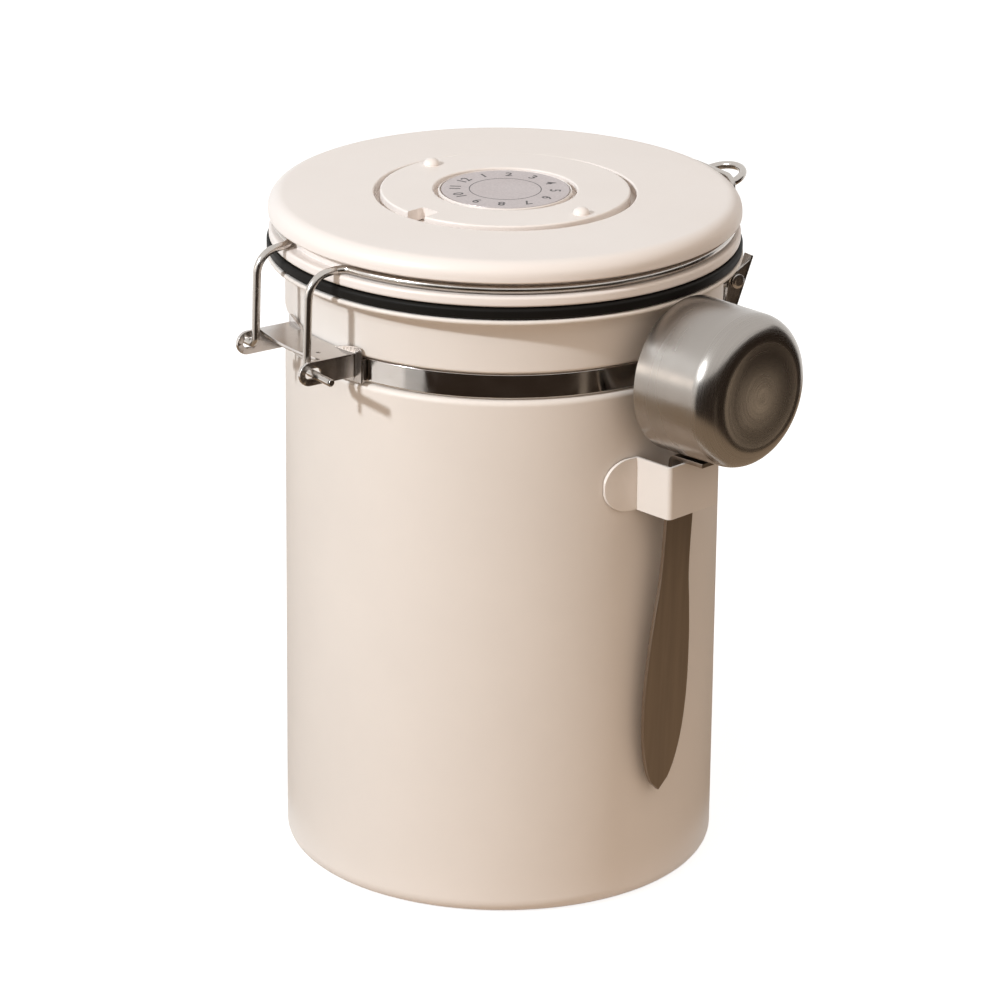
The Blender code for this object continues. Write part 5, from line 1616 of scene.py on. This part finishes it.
@dataclass
class GasValve:
    """The one-way gas valve in the lid's floor."""

    radius: float = 15.0 * MM
    wall: float = 1.6 * MM
    flange: float = 2.6 * MM
    flange_height: float = 1.0 * MM
    low: float = 168.7 * MM
    seat_rise: float = 4.0 * MM
    seat_thickness: float = 1.2 * MM
    top: float = 175.3 * MM
    floor_top: float = 172.0 * MM
    stem: float = 1.4 * MM
    stem_gap: float = 0.4 * MM
    vent: float = 1.2 * MM
    vent_ring: float = 5.0 * MM
    filter_hole: float = 0.9 * MM
    filter_ring: float = 8.3 * MM
    filter_thickness: float = 0.6 * MM
    nut_width: float = 2.8 * MM
    nut_height: float = 1.8 * MM
    flap_margin: float = 2.3 * MM
    flap_thickness: float = 0.9 * MM

    def build(self, shop: Workshop) -> None:
        """Builds the valve's cup, nut, flap and perforated disc."""
        bore = self.radius - self.wall
        stem_bore = self.stem + self.stem_gap
        seat = self.low + self.seat_rise
        seat_top = seat + self.seat_thickness
        soft = 0.25 * MM
        rim = self.radius + self.flange
        rim_z = self.low + self.flange_height
        cup = [(stem_bore, seat, 0.1 * MM), (bore, seat, soft), (bore, self.low, soft), (rim, self.low, soft),
               (rim, rim_z, soft), (self.radius, rim_z, 0.1 * MM), (self.radius, self.top, soft),
               (bore, self.top, soft), (bore, seat_top, soft), (stem_bore, seat_top, 0.1 * MM)]
        vents = self.holes(shop, self.vent, self.vent_ring, 6, seat, seat_top)
        body = combined(Join.CUT, shop.turned(rounded(cup, 5), PLASTIC, RING_STEPS), vents)
        shop.place("valve_cup", body, PLASTIC, Body.LID, ["valve_body"])

        low = self.floor_top + SEAT_GAP
        nut_bore = self.radius + SEAT_GAP
        edge, nut_top = nut_bore + self.nut_width, low + self.nut_height
        nut = [(nut_bore, low, soft), (edge, low, soft), (edge, nut_top, soft), (nut_bore, nut_top, soft)]
        mesh = shop.turned(rounded(nut, 5), PLASTIC, RING_STEPS)
        shop.place("valve_ring", mesh, PLASTIC, Body.LID, ["valve_nut"])

        flap_z = seat_top + SEAT_GAP
        flap_r = bore - self.flap_margin
        flap_top = flap_z + self.flap_thickness
        barb_z = seat - SEAT_GAP
        flap = [(0, barb_z - 0.8 * MM, 0), (self.stem, barb_z - 0.8 * MM, 0.3 * MM),
                (self.stem + 1.1 * MM, barb_z, 0.1 * MM), (self.stem, barb_z, 0.1 * MM),
                (self.stem, flap_z, 0.2 * MM),
                (flap_r, flap_z, soft), (flap_r, flap_top, soft), (0, flap_top, 0)]
        mesh = shop.turned(rounded(flap, 5), CLEAR_RUBBER, FLAP_STEPS, closed=False)
        shop.place("valve_flap", mesh, CLEAR_RUBBER, Body.LID, ["valve_disc"])

        disc_r = bore - SEAT_GAP
        disc_z = self.low + SEAT_GAP
        disc_top = disc_z + self.filter_thickness
        disc = [(0, disc_z, 0), (disc_r, disc_z, 0.15 * MM), (disc_r, disc_top, 0.15 * MM), (0, disc_top, 0)]
        holes = self.holes(shop, self.filter_hole, self.filter_ring, 8, disc_z, disc_top)
        mesh = combined(Join.CUT, shop.turned(rounded(disc, 4), PLASTIC, RING_STEPS, closed=False), holes)
        shop.place("valve_screen", mesh, PLASTIC, Body.LID, ["valve_filter"])

    def holes(self, shop: Workshop, radius: float, ring: float, count: int, low: float,
              high: float) -> bpy.types.Mesh:
        """Sets a ring of cutters for round holes through a disc."""
        one = shop.rod(2 * radius, (0, 0, low - OVERRUN), (0, 0, high + OVERRUN), PLASTIC, HOLE_STEPS)
        return shop.around(one, count, ring, 0.0, PLASTIC)


@dataclass
class DateDial:
    """The turning dial, the knob in its middle and the knob's printed plate."""

    radius: float = 34.1 * MM
    low: float = 186.3 * MM
    top: float = 189.6 * MM
    edge: float = 0.5 * MM
    hub_bore: float = 4.1 * MM
    hub_radius: float = 5.6 * MM
    hub_barb: float = 1.6 * MM
    hub_barb_height: float = 0.7 * MM
    hub_step: float = 1.0 * MM
    barb_top: float = 184.4 * MM
    well_z: float = 187.4 * MM
    well_radius: float = 19.6 * MM
    nub_ring: float = 30.0 * MM
    nub_radius: float = 2.3 * MM
    nub_height: float = 1.9 * MM
    nub_turn: float = 98.0
    window_turn: float = 10.5
    window_width: float = 6.4 * MM
    window_length: float = 5.9 * MM
    window_round: float = 0.8 * MM
    knob_radius: float = 18.3 * MM
    knob_z: float = 187.7 * MM
    knob_thickness: float = 1.8 * MM
    stem_radius: float = 3.7 * MM
    plate_radius: float = 17.5 * MM
    plate_z: float = 189.1 * MM
    plate_thickness: float = 0.4 * MM
    number_ring: float = 13.5 * MM
    number_size: float = 4.3 * MM
    number_turn: float = -69.0
    circle: float = 9.8 * MM
    circle_half: float = 0.13 * MM
    stem_barb: float = 0.9 * MM
    stem_barb_height: float = 0.7 * MM
    dome_steps: int = 12

    def build(self, shop: Workshop) -> None:
        """Builds the dial, the knob, the plate and its numbers."""
        shop.place("dial", self.dial(shop), PLASTIC, Body.DIAL, ["date_dial"])
        shop.place("knob", self.knob(shop), PLASTIC, Body.KNOB, ["month_knob"])
        top = self.plate_z + self.plate_thickness
        disc = [(0, self.plate_z, 0), (self.plate_radius, self.plate_z, 0.08 * MM),
                (self.plate_radius, top, 0.12 * MM), (0, top, 0)]
        mesh = shop.turned(rounded(disc, 4), SILVER_PRINT, KNOB_STEPS, closed=False)
        shop.place("plate", mesh, SILVER_PRINT, Body.KNOB, ["month_plate"])
        months = ["12"] + [str(month) for month in range(1, 12)]
        print_z = top + INK_TOP
        numbers = shop.numerals(months, self.number_size, self.number_ring, print_z, self.number_turn,
                                -FULL_TURN / len(months), DARK_INK)
        inner, outer = self.circle - self.circle_half, self.circle + self.circle_half
        ring = [(inner, top + INK_FOOT), (outer, top + INK_FOOT), (outer, print_z), (inner, print_z)]
        circle = shop.turned(ring, DARK_INK, KNOB_STEPS)
        shop.place("month_numbers", gathered([numbers, circle]), DARK_INK, Body.KNOB)

    def dial(self, shop: Workshop) -> bpy.types.Mesh:
        """Turns the dished disc with its snap hub, adds the two grip nubs and cuts the window.

        Args:
            shop: The workshop.

        Returns:
            The dial.
        """
        hub_low = self.barb_top - self.hub_barb_height
        step_z = self.barb_top + SEAT_GAP
        step_r = self.hub_bore + self.hub_step
        soft = 0.2 * MM
        corners = [(self.hub_bore, self.well_z, soft), (self.well_radius, self.well_z, soft),
                   (self.well_radius, self.top, self.edge), (self.radius, self.top, self.edge),
                   (self.radius, self.low, soft), (self.hub_radius, self.low, soft),
                   (self.hub_radius, self.barb_top, 0),
                   (self.hub_radius + self.hub_barb, self.barb_top, 0.1 * MM),
                   (self.hub_radius, hub_low, 0.1 * MM), (step_r, hub_low, 0.1 * MM),
                   (step_r, step_z, 0.1 * MM), (self.hub_bore, step_z, 0.1 * MM)]
        disc = shop.turned(rounded(corners, 6), PLASTIC, DIAL_STEPS)
        rise = self.nub_height / self.nub_radius
        dome = [(0, self.top - self.edge), (self.nub_radius, self.top - self.edge),
                (self.nub_radius, self.top)]
        for step in range(1, self.dome_steps):
            across, up = polar(self.nub_radius, QUARTER_TURN * step / self.dome_steps)
            dome.append((across, self.top + up * rise))
        dome.append((0, self.top + self.nub_height))
        one = shop.turned(dome, PLASTIC, NUB_STEPS, closed=False)
        nubs = shop.around(one, 2, self.nub_ring, self.nub_turn + QUARTER_TURN, PLASTIC)
        half = self.window_width / 2
        inner_end = self.radius - self.window_length
        corner = (half - self.window_round, inner_end + self.window_round)
        right = arc(corner, self.window_round, -QUARTER_TURN, 0, 8) + [(half, self.radius + OVERRUN)]
        window = right + [(-x, y) for x, y in right[::-1]]
        cutter = plate([window], flat_plane(self.low - OVERRUN), self.top - self.low + 2 * OVERRUN)
        return combined(Join.CUT, combined(Join.UNION, disc, nubs), moved(cutter, about_z(self.window_turn)))

    def knob(self, shop: Workshop) -> bpy.types.Mesh:
        """Turns the knob with its snap stem and the seat for its plate."""
        top = self.knob_z + self.knob_thickness
        barb_low = self.barb_top - self.stem_barb_height
        barb_r = self.stem_radius + self.stem_barb
        seat_r = self.plate_radius + SEAT_GAP
        seat_z = self.plate_z - SEAT_GAP
        soft = 0.15 * MM
        corners = [(0, barb_low, 0), (self.stem_radius, barb_low, soft),
                   (barb_r, self.barb_top - SEAT_GAP, soft),
                   (barb_r, self.barb_top, 0), (self.stem_radius, self.barb_top, 0),
                   (self.stem_radius, self.knob_z, soft), (self.knob_radius, self.knob_z, soft),
                   (self.knob_radius, top, 0.4 * MM), (seat_r, top, 0.2 * MM), (seat_r, seat_z, soft),
                   (0, seat_z, 0)]
        return shop.turned(rounded(corners, 6), PLASTIC, KNOB_STEPS, closed=False)


@dataclass
class LidWire:
    """One wire from hinge pin to hinge pin, round the lid's groove and out to the latch's tang."""

    thickness: float = 2.2 * MM
    ring: float = 62.15 * MM
    level: float = 181.1 * MM
    hinge_y: float = 72.5 * MM
    hinge_z: float = 154.6 * MM
    leg_x: float = 12.7 * MM
    pin_bend: float = 2.0 * MM
    elbow: float = 6.5 * MM
    elbow_y: float = 71.7 * MM
    elbow_drop: float = 0.9 * MM
    entry: float = 3.6 * MM
    short_pin: float = 5.4 * MM
    long_pin: float = 12.2 * MM
    tang_x: float = 6.6 * MM
    tang_root: float = 2.6 * MM
    tang_knee: float = 73.35 * MM
    tang_rise: float = 15.0
    ring_steps: int = 72
    tang_steps: int = 24

    def half(self, pin: float) -> list[Vector]:
        """Routes the half on the +X side, from its pin to the middle of the tang.

        Args:
            pin: How far the pin's end lies past the leg.

        Returns:
            Points along the wire.
        """
        entry = math.asin(self.leg_x / self.ring)
        root = math.asin(self.tang_x / self.ring)
        first = math.asin((self.leg_x + self.entry) / self.ring)
        last = math.pi - math.asin((self.tang_x + self.tang_root) / self.ring)
        corners = [(Vector((self.leg_x + pin, self.hinge_y, self.hinge_z)), 0),
                   (Vector((self.leg_x, self.hinge_y, self.hinge_z)), self.pin_bend),
                   (Vector((self.leg_x, self.elbow_y, self.level - self.elbow_drop)), self.elbow),
                   (Vector((self.leg_x, self.ring * math.cos(entry), self.level)), self.entry)]
        for step in range(self.ring_steps + 1):
            angle = first + (last - first) * step / self.ring_steps
            stop = Vector((self.ring * math.sin(angle), self.ring * math.cos(angle), self.level))
            corners.append((stop, 0))
        corners.append((Vector((self.tang_x, -self.ring * math.cos(root), self.level)), self.tang_root))
        rise = math.radians(self.tang_rise)
        for step in range(self.tang_steps + 1):
            across, ahead = polar(self.tang_x, QUARTER_TURN * step / self.tang_steps)
            out = self.tang_knee + ahead * math.cos(rise)
            corners.append((Vector((across, -out, self.level + ahead * math.sin(rise))), 0))
        return bent_route(corners)

    def build(self, shop: Workshop) -> None:
        """Bends the wire and dresses it."""
        mirror = Matrix.Scale(-1, 3, (1, 0, 0))
        plus = self.half(self.short_pin)
        minus = [mirror @ point for point in self.half(self.long_pin)]
        mesh = shop.wire(plus + minus[-2::-1], self.thickness, DRAWN_WIRE)
        shop.place("bent_wire", mesh, DRAWN_WIRE, Body.LID, ["lid_wire"])


@dataclass
class Latch:
    """The pressed lever and the wire link that it pulls over the lid's tang."""

    pivot: Point = (69.0 * MM, 155.0 * MM)
    link: Point = (67.5 * MM, 147.3 * MM)
    tilt: float = 21.0
    offset: float = 2.0 * MM
    top: float = 8.0 * MM
    slope: float = 9.0 * MM
    waist: Point = (64.9 * MM, 135.0 * MM)
    heel: Point = (63.2 * MM, 124.5 * MM)
    lip: Point = (66.6 * MM, 115.0 * MM)
    wall: float = 0.9 * MM
    bend: float = 6.0 * MM
    half_width: float = 15.0 * MM
    taper: float = 4.0 * MM
    corner: float = 4.5 * MM
    fork_x: float = 11.8 * MM
    fork_drop: float = 2.3 * MM
    fork_round: float = 3.0 * MM
    cheek_radius: float = 3.0 * MM
    cheek_margin: float = 2.6 * MM
    rivet: float = 2.4 * MM
    bail: float = 2.0 * MM
    bail_x: float = 10.0 * MM
    bail_bar: Point = (70.4 * MM, 183.5 * MM)
    bail_bend: float = 3.2 * MM
    bail_foot_bend: float = 1.4 * MM
    bail_end: float = 15.7 * MM
    edge: float = 0.14 * MM

    def lever(self) -> bpy.types.Mesh:
        """Presses the lever: a bent plate, forked above for the link, and two cheeks.

        Returns:
            The lever, modelled on the +Y side.
        """
        angle = math.radians(self.tilt)
        down = Vector((-math.sin(angle), -math.cos(angle)))
        out = Vector((math.cos(angle), -math.sin(angle)))
        foot = Vector(self.pivot) + out * self.offset
        corners = [(foot - down * self.top, 0), (foot + down * self.slope, self.bend),
                   (Vector(self.waist), 2 * self.bend), (Vector(self.heel), self.bend), (Vector(self.lip), 0)]
        route = bent_route([(Vector((0, *point)), radius) for point, radius in corners], 10)
        inner = [point.yz for point in route]
        outer = []
        for index, point in enumerate(inner):
            run = inner[min(index + 1, len(inner) - 1)] - inner[max(index - 1, 0)]
            outer.append(point + Vector((-run.y, run.x)).normalized() * self.wall)
        profile = [tuple(point) for point in inner + outer[::-1]]
        sheet = plate([profile], side_plane(-self.half_width), 2 * self.half_width)
        high = foot.y + self.top + OVERRUN
        turn = (self.half_width - self.taper - self.corner, self.lip[1] + self.corner)
        right = [(self.half_width + OVERRUN, high), (self.half_width + OVERRUN, self.waist[1]),
                 (self.half_width, self.waist[1]), *arc(turn, self.corner, 0, -QUARTER_TURN, 12)]
        keep = punch(right + [(-x, z) for x, z in right[::-1]], self.heel[0], foot.x + self.top)
        fork_low = (self.fork_x - self.fork_round, self.link[1] - self.fork_drop + self.fork_round)
        side = arc(fork_low, self.fork_round, -QUARTER_TURN, 0, 10) + [(self.fork_x, high)]
        fork = punch(side + [(-x, z) for x, z in side[::-1]], self.heel[0], foot.x + self.top)
        blank = combined(Join.CUT, combined(Join.KEEP, sheet, keep), fork)
        middle = self.wall / 2
        cheek = [tuple(foot - down * (self.top - self.wall) + out * middle),
                 *arc(self.pivot, self.cheek_radius, QUARTER_TURN, HALF_TURN, 10),
                 *arc(self.link, self.cheek_margin, HALF_TURN, FULL_TURN - QUARTER_TURN / 2, 14),
                 tuple(foot + down * self.slope + out * middle)]
        rivet_hole = arc(self.pivot, self.rivet / 2 + SEAT_GAP, 0, FULL_TURN, HOLE_STEPS)[:-1]
        bail_hole = arc(self.link, self.bail / 2 + SEAT_GAP, 0, FULL_TURN, HOLE_STEPS)[:-1]
        cheeks = [plate([cheek, rivet_hole, bail_hole], side_plane(x), self.wall)
                  for x in (-self.half_width, self.half_width - self.wall)]
        return combined(Join.UNION, blank, *cheeks)

    def build(self, shop: Workshop) -> None:
        """Builds the lever and the link, turned to the latch's side."""
        lever = moved(softened(self.lever(), self.edge), about_z(HALF_TURN))
        shop.place("lever", lever, FOLDED_PLATE, Body.LEVER, ["latch_lever"])
        corners = []
        for side in (1, -1):
            half = [(Vector((side * self.bail_end, *self.link)), 0),
                    (Vector((side * self.bail_x, *self.link)), self.bail_foot_bend),
                    (Vector((side * self.bail_x, *self.bail_bar)), self.bail_bend)]
            corners += half if side == 1 else half[::-1]
        route = [about_z(HALF_TURN) @ point for point in bent_route(corners)]
        shop.place("link", shop.wire(route, self.bail, DRAWN_WIRE), DRAWN_WIRE, Body.BAIL, ["latch_bail"])


@dataclass
class Scoop:
    """The pressed cup and its leaf-shaped blade."""

    turn: float = 101.7
    radius: float = 21.2 * MM
    depth: float = 26.2 * MM
    mouth_y: float = 67.0 * MM
    axis_z: float = 153.2 * MM
    wall: float = 0.8 * MM
    corner: float = 6.5 * MM
    taper: float = 0.3 * MM
    tab_top: float = 131.7 * MM
    thickness: float = 1.2 * MM
    tip: Point = (61.9 * MM, 31.6 * MM)
    top_y: float = 67.0 * MM
    leaf_x: float = 8.5 * MM
    tab: float = 12.0 * MM
    bend: float = 2.2 * MM
    dome: float = 0.7 * MM
    lean: float = 1.0
    aside: float = 1.2 * MM
    edge: float = 0.16 * MM
    mouth_round: float = 0.25 * MM
    dome_steps: int = 8
    leaf_steps: int = 6
    leaf: tuple[Point, ...] = ((0.0, 0.61), (0.14, 0.61), (0.33, 0.64), (0.45, 0.80), (0.56, 0.93),
                               (0.70, 1.0), (0.82, 0.92), (0.91, 0.70), (0.97, 0.38))

    def build(self, shop: Workshop) -> None:
        """Builds the cup and the blade."""
        shop.place("cup", self.cup(shop), CUP_STEEL, Body.SCOOP, ["scoop_cup"])
        lean = Matrix.Rotation(math.radians(-self.lean), 4, "Y")
        hang = Matrix.Translation((self.aside, 0, self.tab_top)) @ lean
        blade = moved(softened(self.blade(), self.edge), about_z(self.turn) @ hang
                      @ Matrix.Translation((0, 0, -self.tab_top)))
        shop.place("blade", blade, SHADED_BLADE_STEEL, Body.SCOOP, ["scoop_handle"])

    def cup(self, shop: Workshop) -> bpy.types.Mesh:
        """Turns the cup and lays it on its side, its mouth towards the can.

        Args:
            shop: The workshop.

        Returns:
            The cup.
        """
        end_r = self.radius - self.taper
        inner_end = self.depth - self.wall
        corners = [(0, inner_end, 0), (end_r - self.wall, inner_end, self.corner - self.wall),
                   (self.radius - self.wall, 0, self.mouth_round), (self.radius, 0, self.mouth_round),
                   (end_r, self.depth, self.corner)]
        flat = end_r - self.corner
        shares = [step / self.dome_steps for step in range(self.dome_steps - 1, -1, -1)]
        dome = [(flat * share, self.depth + self.dome * (1 - share ** 2), 0) for share in shares]
        shell = shop.turned(rounded(corners + dome, 14), CUP_STEEL, closed=False)
        lie_down = Matrix.Rotation(math.radians(-QUARTER_TURN), 4, "X")
        out = Matrix.Translation((0, self.mouth_y, self.axis_z))
        return moved(shell, about_z(self.turn) @ out @ lie_down)

    def blade(self) -> bpy.types.Mesh:
        """Bends the strip and cuts its leaf.

        Returns:
            The blade, modelled on the +Y side.
        """
        bend_z = self.tab_top - self.bend
        top, tip = Vector((self.top_y, bend_z)), Vector(self.tip)
        along = tip - top
        across = Vector((along.y, -along.x)).normalized() * -self.thickness
        centre = (self.top_y + self.bend, bend_z)
        tab_end = self.top_y + self.tab
        profile = [tuple(tip), *arc(centre, self.bend, HALF_TURN, QUARTER_TURN, 10), (tab_end, self.tab_top),
                   (tab_end, self.tab_top - self.thickness),
                   *arc(centre, self.bend - self.thickness, QUARTER_TURN, HALF_TURN, 10), tuple(tip + across)]
        strip = plate([profile], side_plane(-self.leaf_x), 2 * self.leaf_x)
        drop = bend_z - tip.y
        right = [(width, bend_z - drop * share) for share, width in self.leaf_edge()]
        right.insert(0, (right[0][0], self.tab_top + OVERRUN))
        outline = right + [(0, tip.y)] + [(-x, z) for x, z in right[::-1]]
        return combined(Join.KEEP, strip, punch(outline, tip.x, tab_end))

    def leaf_edge(self) -> list[Point]:
        """Draws a smooth edge through the leaf's stations.

        Returns:
            Shares of the length with the half width at each.
        """
        stations = [(0.0, self.leaf[0][1])] + list(self.leaf) + [(1.0, 0.0)]
        edge: list[Point] = []
        for index in range(1, len(stations) - 2):
            before, here, after, beyond = stations[index - 1:index + 3]
            for step in range(self.leaf_steps):
                t = step / self.leaf_steps
                place = []
                for a, b, c, d in zip(before, here, after, beyond):
                    place.append(0.5 * (2 * b + (c - a) * t + (2 * a - 5 * b + 4 * c - d) * t * t
                                        + (3 * b - a - 3 * c + d) * t * t * t))
                edge.append((place[0], min(place[1], 1.0) * self.leaf_x))
        edge.append((stations[-2][0], stations[-2][1] * self.leaf_x))
        return edge


# Studio


@dataclass(frozen=True)
class Screen:
    """A curved sheet that only shows in reflections: what it shines, its bearings and its two rims.

    The bearings are in degrees from the camera's side. A rim is a radius about the can's axis and a height.
    """

    name: str
    colour: Colour
    bearings: tuple[int, int]
    lower: Point
    upper: Point


SCREENS = (
    Screen("dark_screen", (0.030, 0.020, 0.014), (-38, 112), (0.30, 0.002), (0.30, 0.26)),
    Screen("strip_screen", (0.20, 0.16, 0.125), (37, 41), (0.295, 0.002), (0.295, 0.12)),
    Screen("warm_screen", (0.62, 0.50, 0.38), (69, 79), (0.20, 0.090), (0.20, 0.122)),
    Screen("pale_screen", (0.95, 0.90, 0.86), (-84, -48), (0.46, 0.002), (0.46, 0.14)),
    Screen("grey_screen", (0.52, 0.50, 0.48), (-50, -36), (0.40, 0.002), (0.40, 0.14)),
    Screen("band_screen", (2.9, 2.75, 2.6), (-90, -70), (0.46, 0.185), (0.46, 0.27)),
    Screen("ground_screen", (0.40, 0.30, 0.21), (-180, 180), (0.07, 0.0015), (0.44, 0.0015)),
)


@dataclass
class Studio:
    """The plain studio: camera, key light, sky, floor and the screens that steel mirrors."""

    camera_place: tuple[float, float, float] = (-1.0805, 0.7566, 0.5946)
    camera_tilt: float = 69.43
    camera_heading: float = -125.0
    camera_roll: float = 0.63
    lens: float = 182.2
    sensor: float = 36.0
    camera_reach: float = 20.0
    shift: Point = (-0.0018, -0.0018)
    facing: float = 55.0
    key_bearing: float = -56.0
    key_height: float = 33.0
    key_distance: float = 1.9
    key_size: float = 0.12
    key_target: float = 0.11
    key_power: float = 25.5
    key_colour: Colour = (0.93, 1.0, 1.06)
    sky_bright: Colour = (1.07, 0.905, 0.76)
    sky_dim: Colour = (0.12, 0.17, 0.20)
    sky_bearing: float = 20.0
    sky_height: float = 50.0
    sky_start: float = 0.2
    floor_radius: float = 6.0
    floor_roughness: float = 0.9
    floor_specular: float = 0.1
    floor_colour: Colour = (0.50, 0.38, 0.28)
    floor_seen_colour: Colour = (0.42, 0.42, 0.42)
    floor_lift: float = 0.84
    screen_step: int = 2

    def bearing(self, angle: float) -> Vector:
        """Gives the level direction that lies that many degrees to the right of the camera's side."""
        turn = math.radians(angle + self.facing)
        return Vector((-math.sin(turn), math.cos(turn), 0.0))

    def direction(self, angle: float, height: float) -> Vector:
        """Gives the direction at a bearing from the camera's side and a height, both in degrees."""
        rise = math.radians(height)
        return self.bearing(angle) * math.cos(rise) + Vector((0, 0, math.sin(rise)))

    def build(self) -> None:
        """Sets up the whole studio."""
        scene = bpy.context.scene
        scene.view_settings.view_transform = "Standard"
        self.camera(scene)
        self.key(scene)
        self.world(scene)
        self.floor(scene)
        self.screens(scene)

    def camera(self, scene: bpy.types.Scene) -> None:
        """Places the camera at the photograph's viewing angle."""
        data = bpy.data.cameras.new("camera")
        data.sensor_width = self.sensor
        data.lens = self.lens
        data.shift_x, data.shift_y = self.shift
        data.clip_end = self.camera_reach
        camera = bpy.data.objects.new("camera", data)
        aim = Euler((math.radians(self.camera_tilt), 0, math.radians(self.camera_heading))).to_matrix()
        roll = Matrix.Rotation(math.radians(self.camera_roll), 3, "Z")
        camera.matrix_world = Matrix.Translation(self.camera_place) @ (aim @ roll).to_4x4()
        scene.collection.objects.link(camera)
        scene.camera = camera

    def key(self, scene: bpy.types.Scene) -> None:
        """Hangs the key light to the left of the camera."""
        data = bpy.data.lights.new("key", "AREA")
        data.shape = "DISK"
        data.size = self.key_size
        data.energy = self.key_power
        data.color = self.key_colour
        lamp = bpy.data.objects.new("key", data)
        target = Vector((0, 0, self.key_target))
        way = self.direction(self.key_bearing, self.key_height)
        aim = way.to_track_quat("Z", "Y").to_matrix().to_4x4()
        lamp.matrix_world = Matrix.Translation(target + way * self.key_distance) @ aim
        scene.collection.objects.link(lamp)

    def seen(self, wiring: Wiring) -> bpy.types.NodeSocket:
        """Gives one where a ray comes from the camera or a mirror-like or clear surface."""
        rays = wiring.node("ShaderNodeLightPath").outputs
        either = wiring.math("MAXIMUM", rays["Is Camera Ray"], rays["Is Glossy Ray"])
        return wiring.math("MAXIMUM", either, rays["Is Transmission Ray"])

    def world(self, scene: bpy.types.Scene) -> None:
        """Makes a sky that is brighter above and to the right, and white where it is seen."""
        world = bpy.data.worlds.new("sky")
        scene.world = world
        world.use_nodes = True
        world.node_tree.nodes.clear()
        wiring = Wiring(world.node_tree)
        way = wiring.node("ShaderNodeTexCoord").outputs["Generated"]
        lean = self.direction(self.sky_bearing, self.sky_height)
        toward = wiring.node("ShaderNodeVectorMath", {0: way, 1: tuple(lean)}, operation="DOT_PRODUCT")
        share = wiring.node("ShaderNodeMapRange",
                            {"Value": toward.outputs["Value"], "From Min": self.sky_start,
                             "From Max": 1.0}).outputs[0]
        mix = wiring.node("ShaderNodeMix",
                          {"Factor": share, 6: (*self.sky_dim, 1.0), 7: (*self.sky_bright, 1.0)},
                          data_type="RGBA").outputs[2]
        final = wiring.node("ShaderNodeMix", {"Factor": self.seen(wiring), 6: mix, 7: WHITE},
                            data_type="RGBA").outputs[2]
        light = wiring.node("ShaderNodeBackground", {"Color": final, "Strength": 1.0}).outputs[0]
        wiring.node("ShaderNodeOutputWorld", {"Surface": light})

    def floor(self, scene: bpy.types.Scene) -> None:
        """Lays the pale floor, lifted to white where it is seen, with the object's shadow kept."""
        bm = bmesh.new()
        bmesh.ops.create_circle(bm, cap_ends=True, segments=RING_STEPS, radius=self.floor_radius)
        mesh = bpy.data.meshes.new("floor")
        bm.to_mesh(mesh)
        bm.free()
        material = bpy.data.materials.new("floor")
        material.use_nodes = True
        wiring = Wiring(material.node_tree)
        shader = material.node_tree.nodes["Principled BSDF"]
        shader.inputs["Roughness"].default_value = self.floor_roughness
        shader.inputs["Specular IOR Level"].default_value = self.floor_specular
        seen = self.seen(wiring)
        wiring.tree.links.new(Finish.mixed(wiring, seen, (*self.floor_colour, 1.0),
                                           (*self.floor_seen_colour, 1.0)),
                              shader.inputs["Base Color"])
        glow = wiring.node("ShaderNodeEmission", {"Color": WHITE,
                                                  "Strength": wiring.math("MULTIPLY", seen, self.floor_lift)})
        both = wiring.node("ShaderNodeAddShader", {0: shader.outputs[0], 1: glow.outputs[0]})
        out = material.node_tree.nodes["Material Output"]
        wiring.tree.links.new(both.outputs[0], out.inputs["Surface"])
        mesh.materials.append(material)
        floor = bpy.data.objects.new("floor", mesh)
        scene.collection.objects.link(floor)

    def screens(self, scene: bpy.types.Scene) -> None:
        """Stands the screens round the object, in the order of their table."""
        for sheet in SCREENS:
            self.screen(scene, sheet)

    @staticmethod
    def flat_glow(name: str, colour: Colour) -> bpy.types.Material:
        """Makes a screen's material: it shines in its own colour and takes no light."""
        material = bpy.data.materials.new(name)
        material.use_nodes = True
        shader = material.node_tree.nodes["Principled BSDF"]
        shader.inputs["Base Color"].default_value = BLACK
        shader.inputs["Roughness"].default_value = 1.0
        shader.inputs["Specular IOR Level"].default_value = 0.0
        shader.inputs["Emission Color"].default_value = (*colour, 1.0)
        shader.inputs["Emission Strength"].default_value = 1.0
        return material

    def screen(self, scene: bpy.types.Scene, sheet: Screen) -> None:
        """Stands one screen.

        Args:
            scene: The scene.
            sheet: The screen's entry in the table.
        """
        rows = []
        for angle in range(sheet.bearings[0], sheet.bearings[1] + 1, self.screen_step):
            way = self.bearing(float(angle))
            rims = (sheet.lower, sheet.upper)
            rows.append([(way.x * radius, way.y * radius, height) for radius, height in rims])
        verts = [point for row in rows for point in row]
        faces = [(2 * i, 2 * i + 2, 2 * i + 3, 2 * i + 1) for i in range(len(rows) - 1)]
        mesh = bpy.data.meshes.new(sheet.name)
        mesh.from_pydata(verts, [], faces)
        mesh.materials.append(self.flat_glow(sheet.name, sheet.colour))
        screen = bpy.data.objects.new(sheet.name, mesh)
        screen.visible_camera = False
        screen.visible_diffuse = False
        screen.visible_shadow = False
        screen.visible_transmission = False
        scene.collection.objects.link(screen)


def main() -> None:
    """Builds the studio and every sub-assembly."""
    logging.basicConfig(level=logging.INFO, format="%(message)s")
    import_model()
    Studio().build()
    shop = Workshop()
    for assembly in (Can(), NeckBand(), HingeBracket(), LatchBracket(), ScoopClip(), Lid(), GasValve(),
                     DateDial(), LidWire(), Latch(), Scoop()):
        assembly.build(shop)
    LOG.info("%d triangles in all", shop.triangles)


if __name__ == "__main__":
    main()
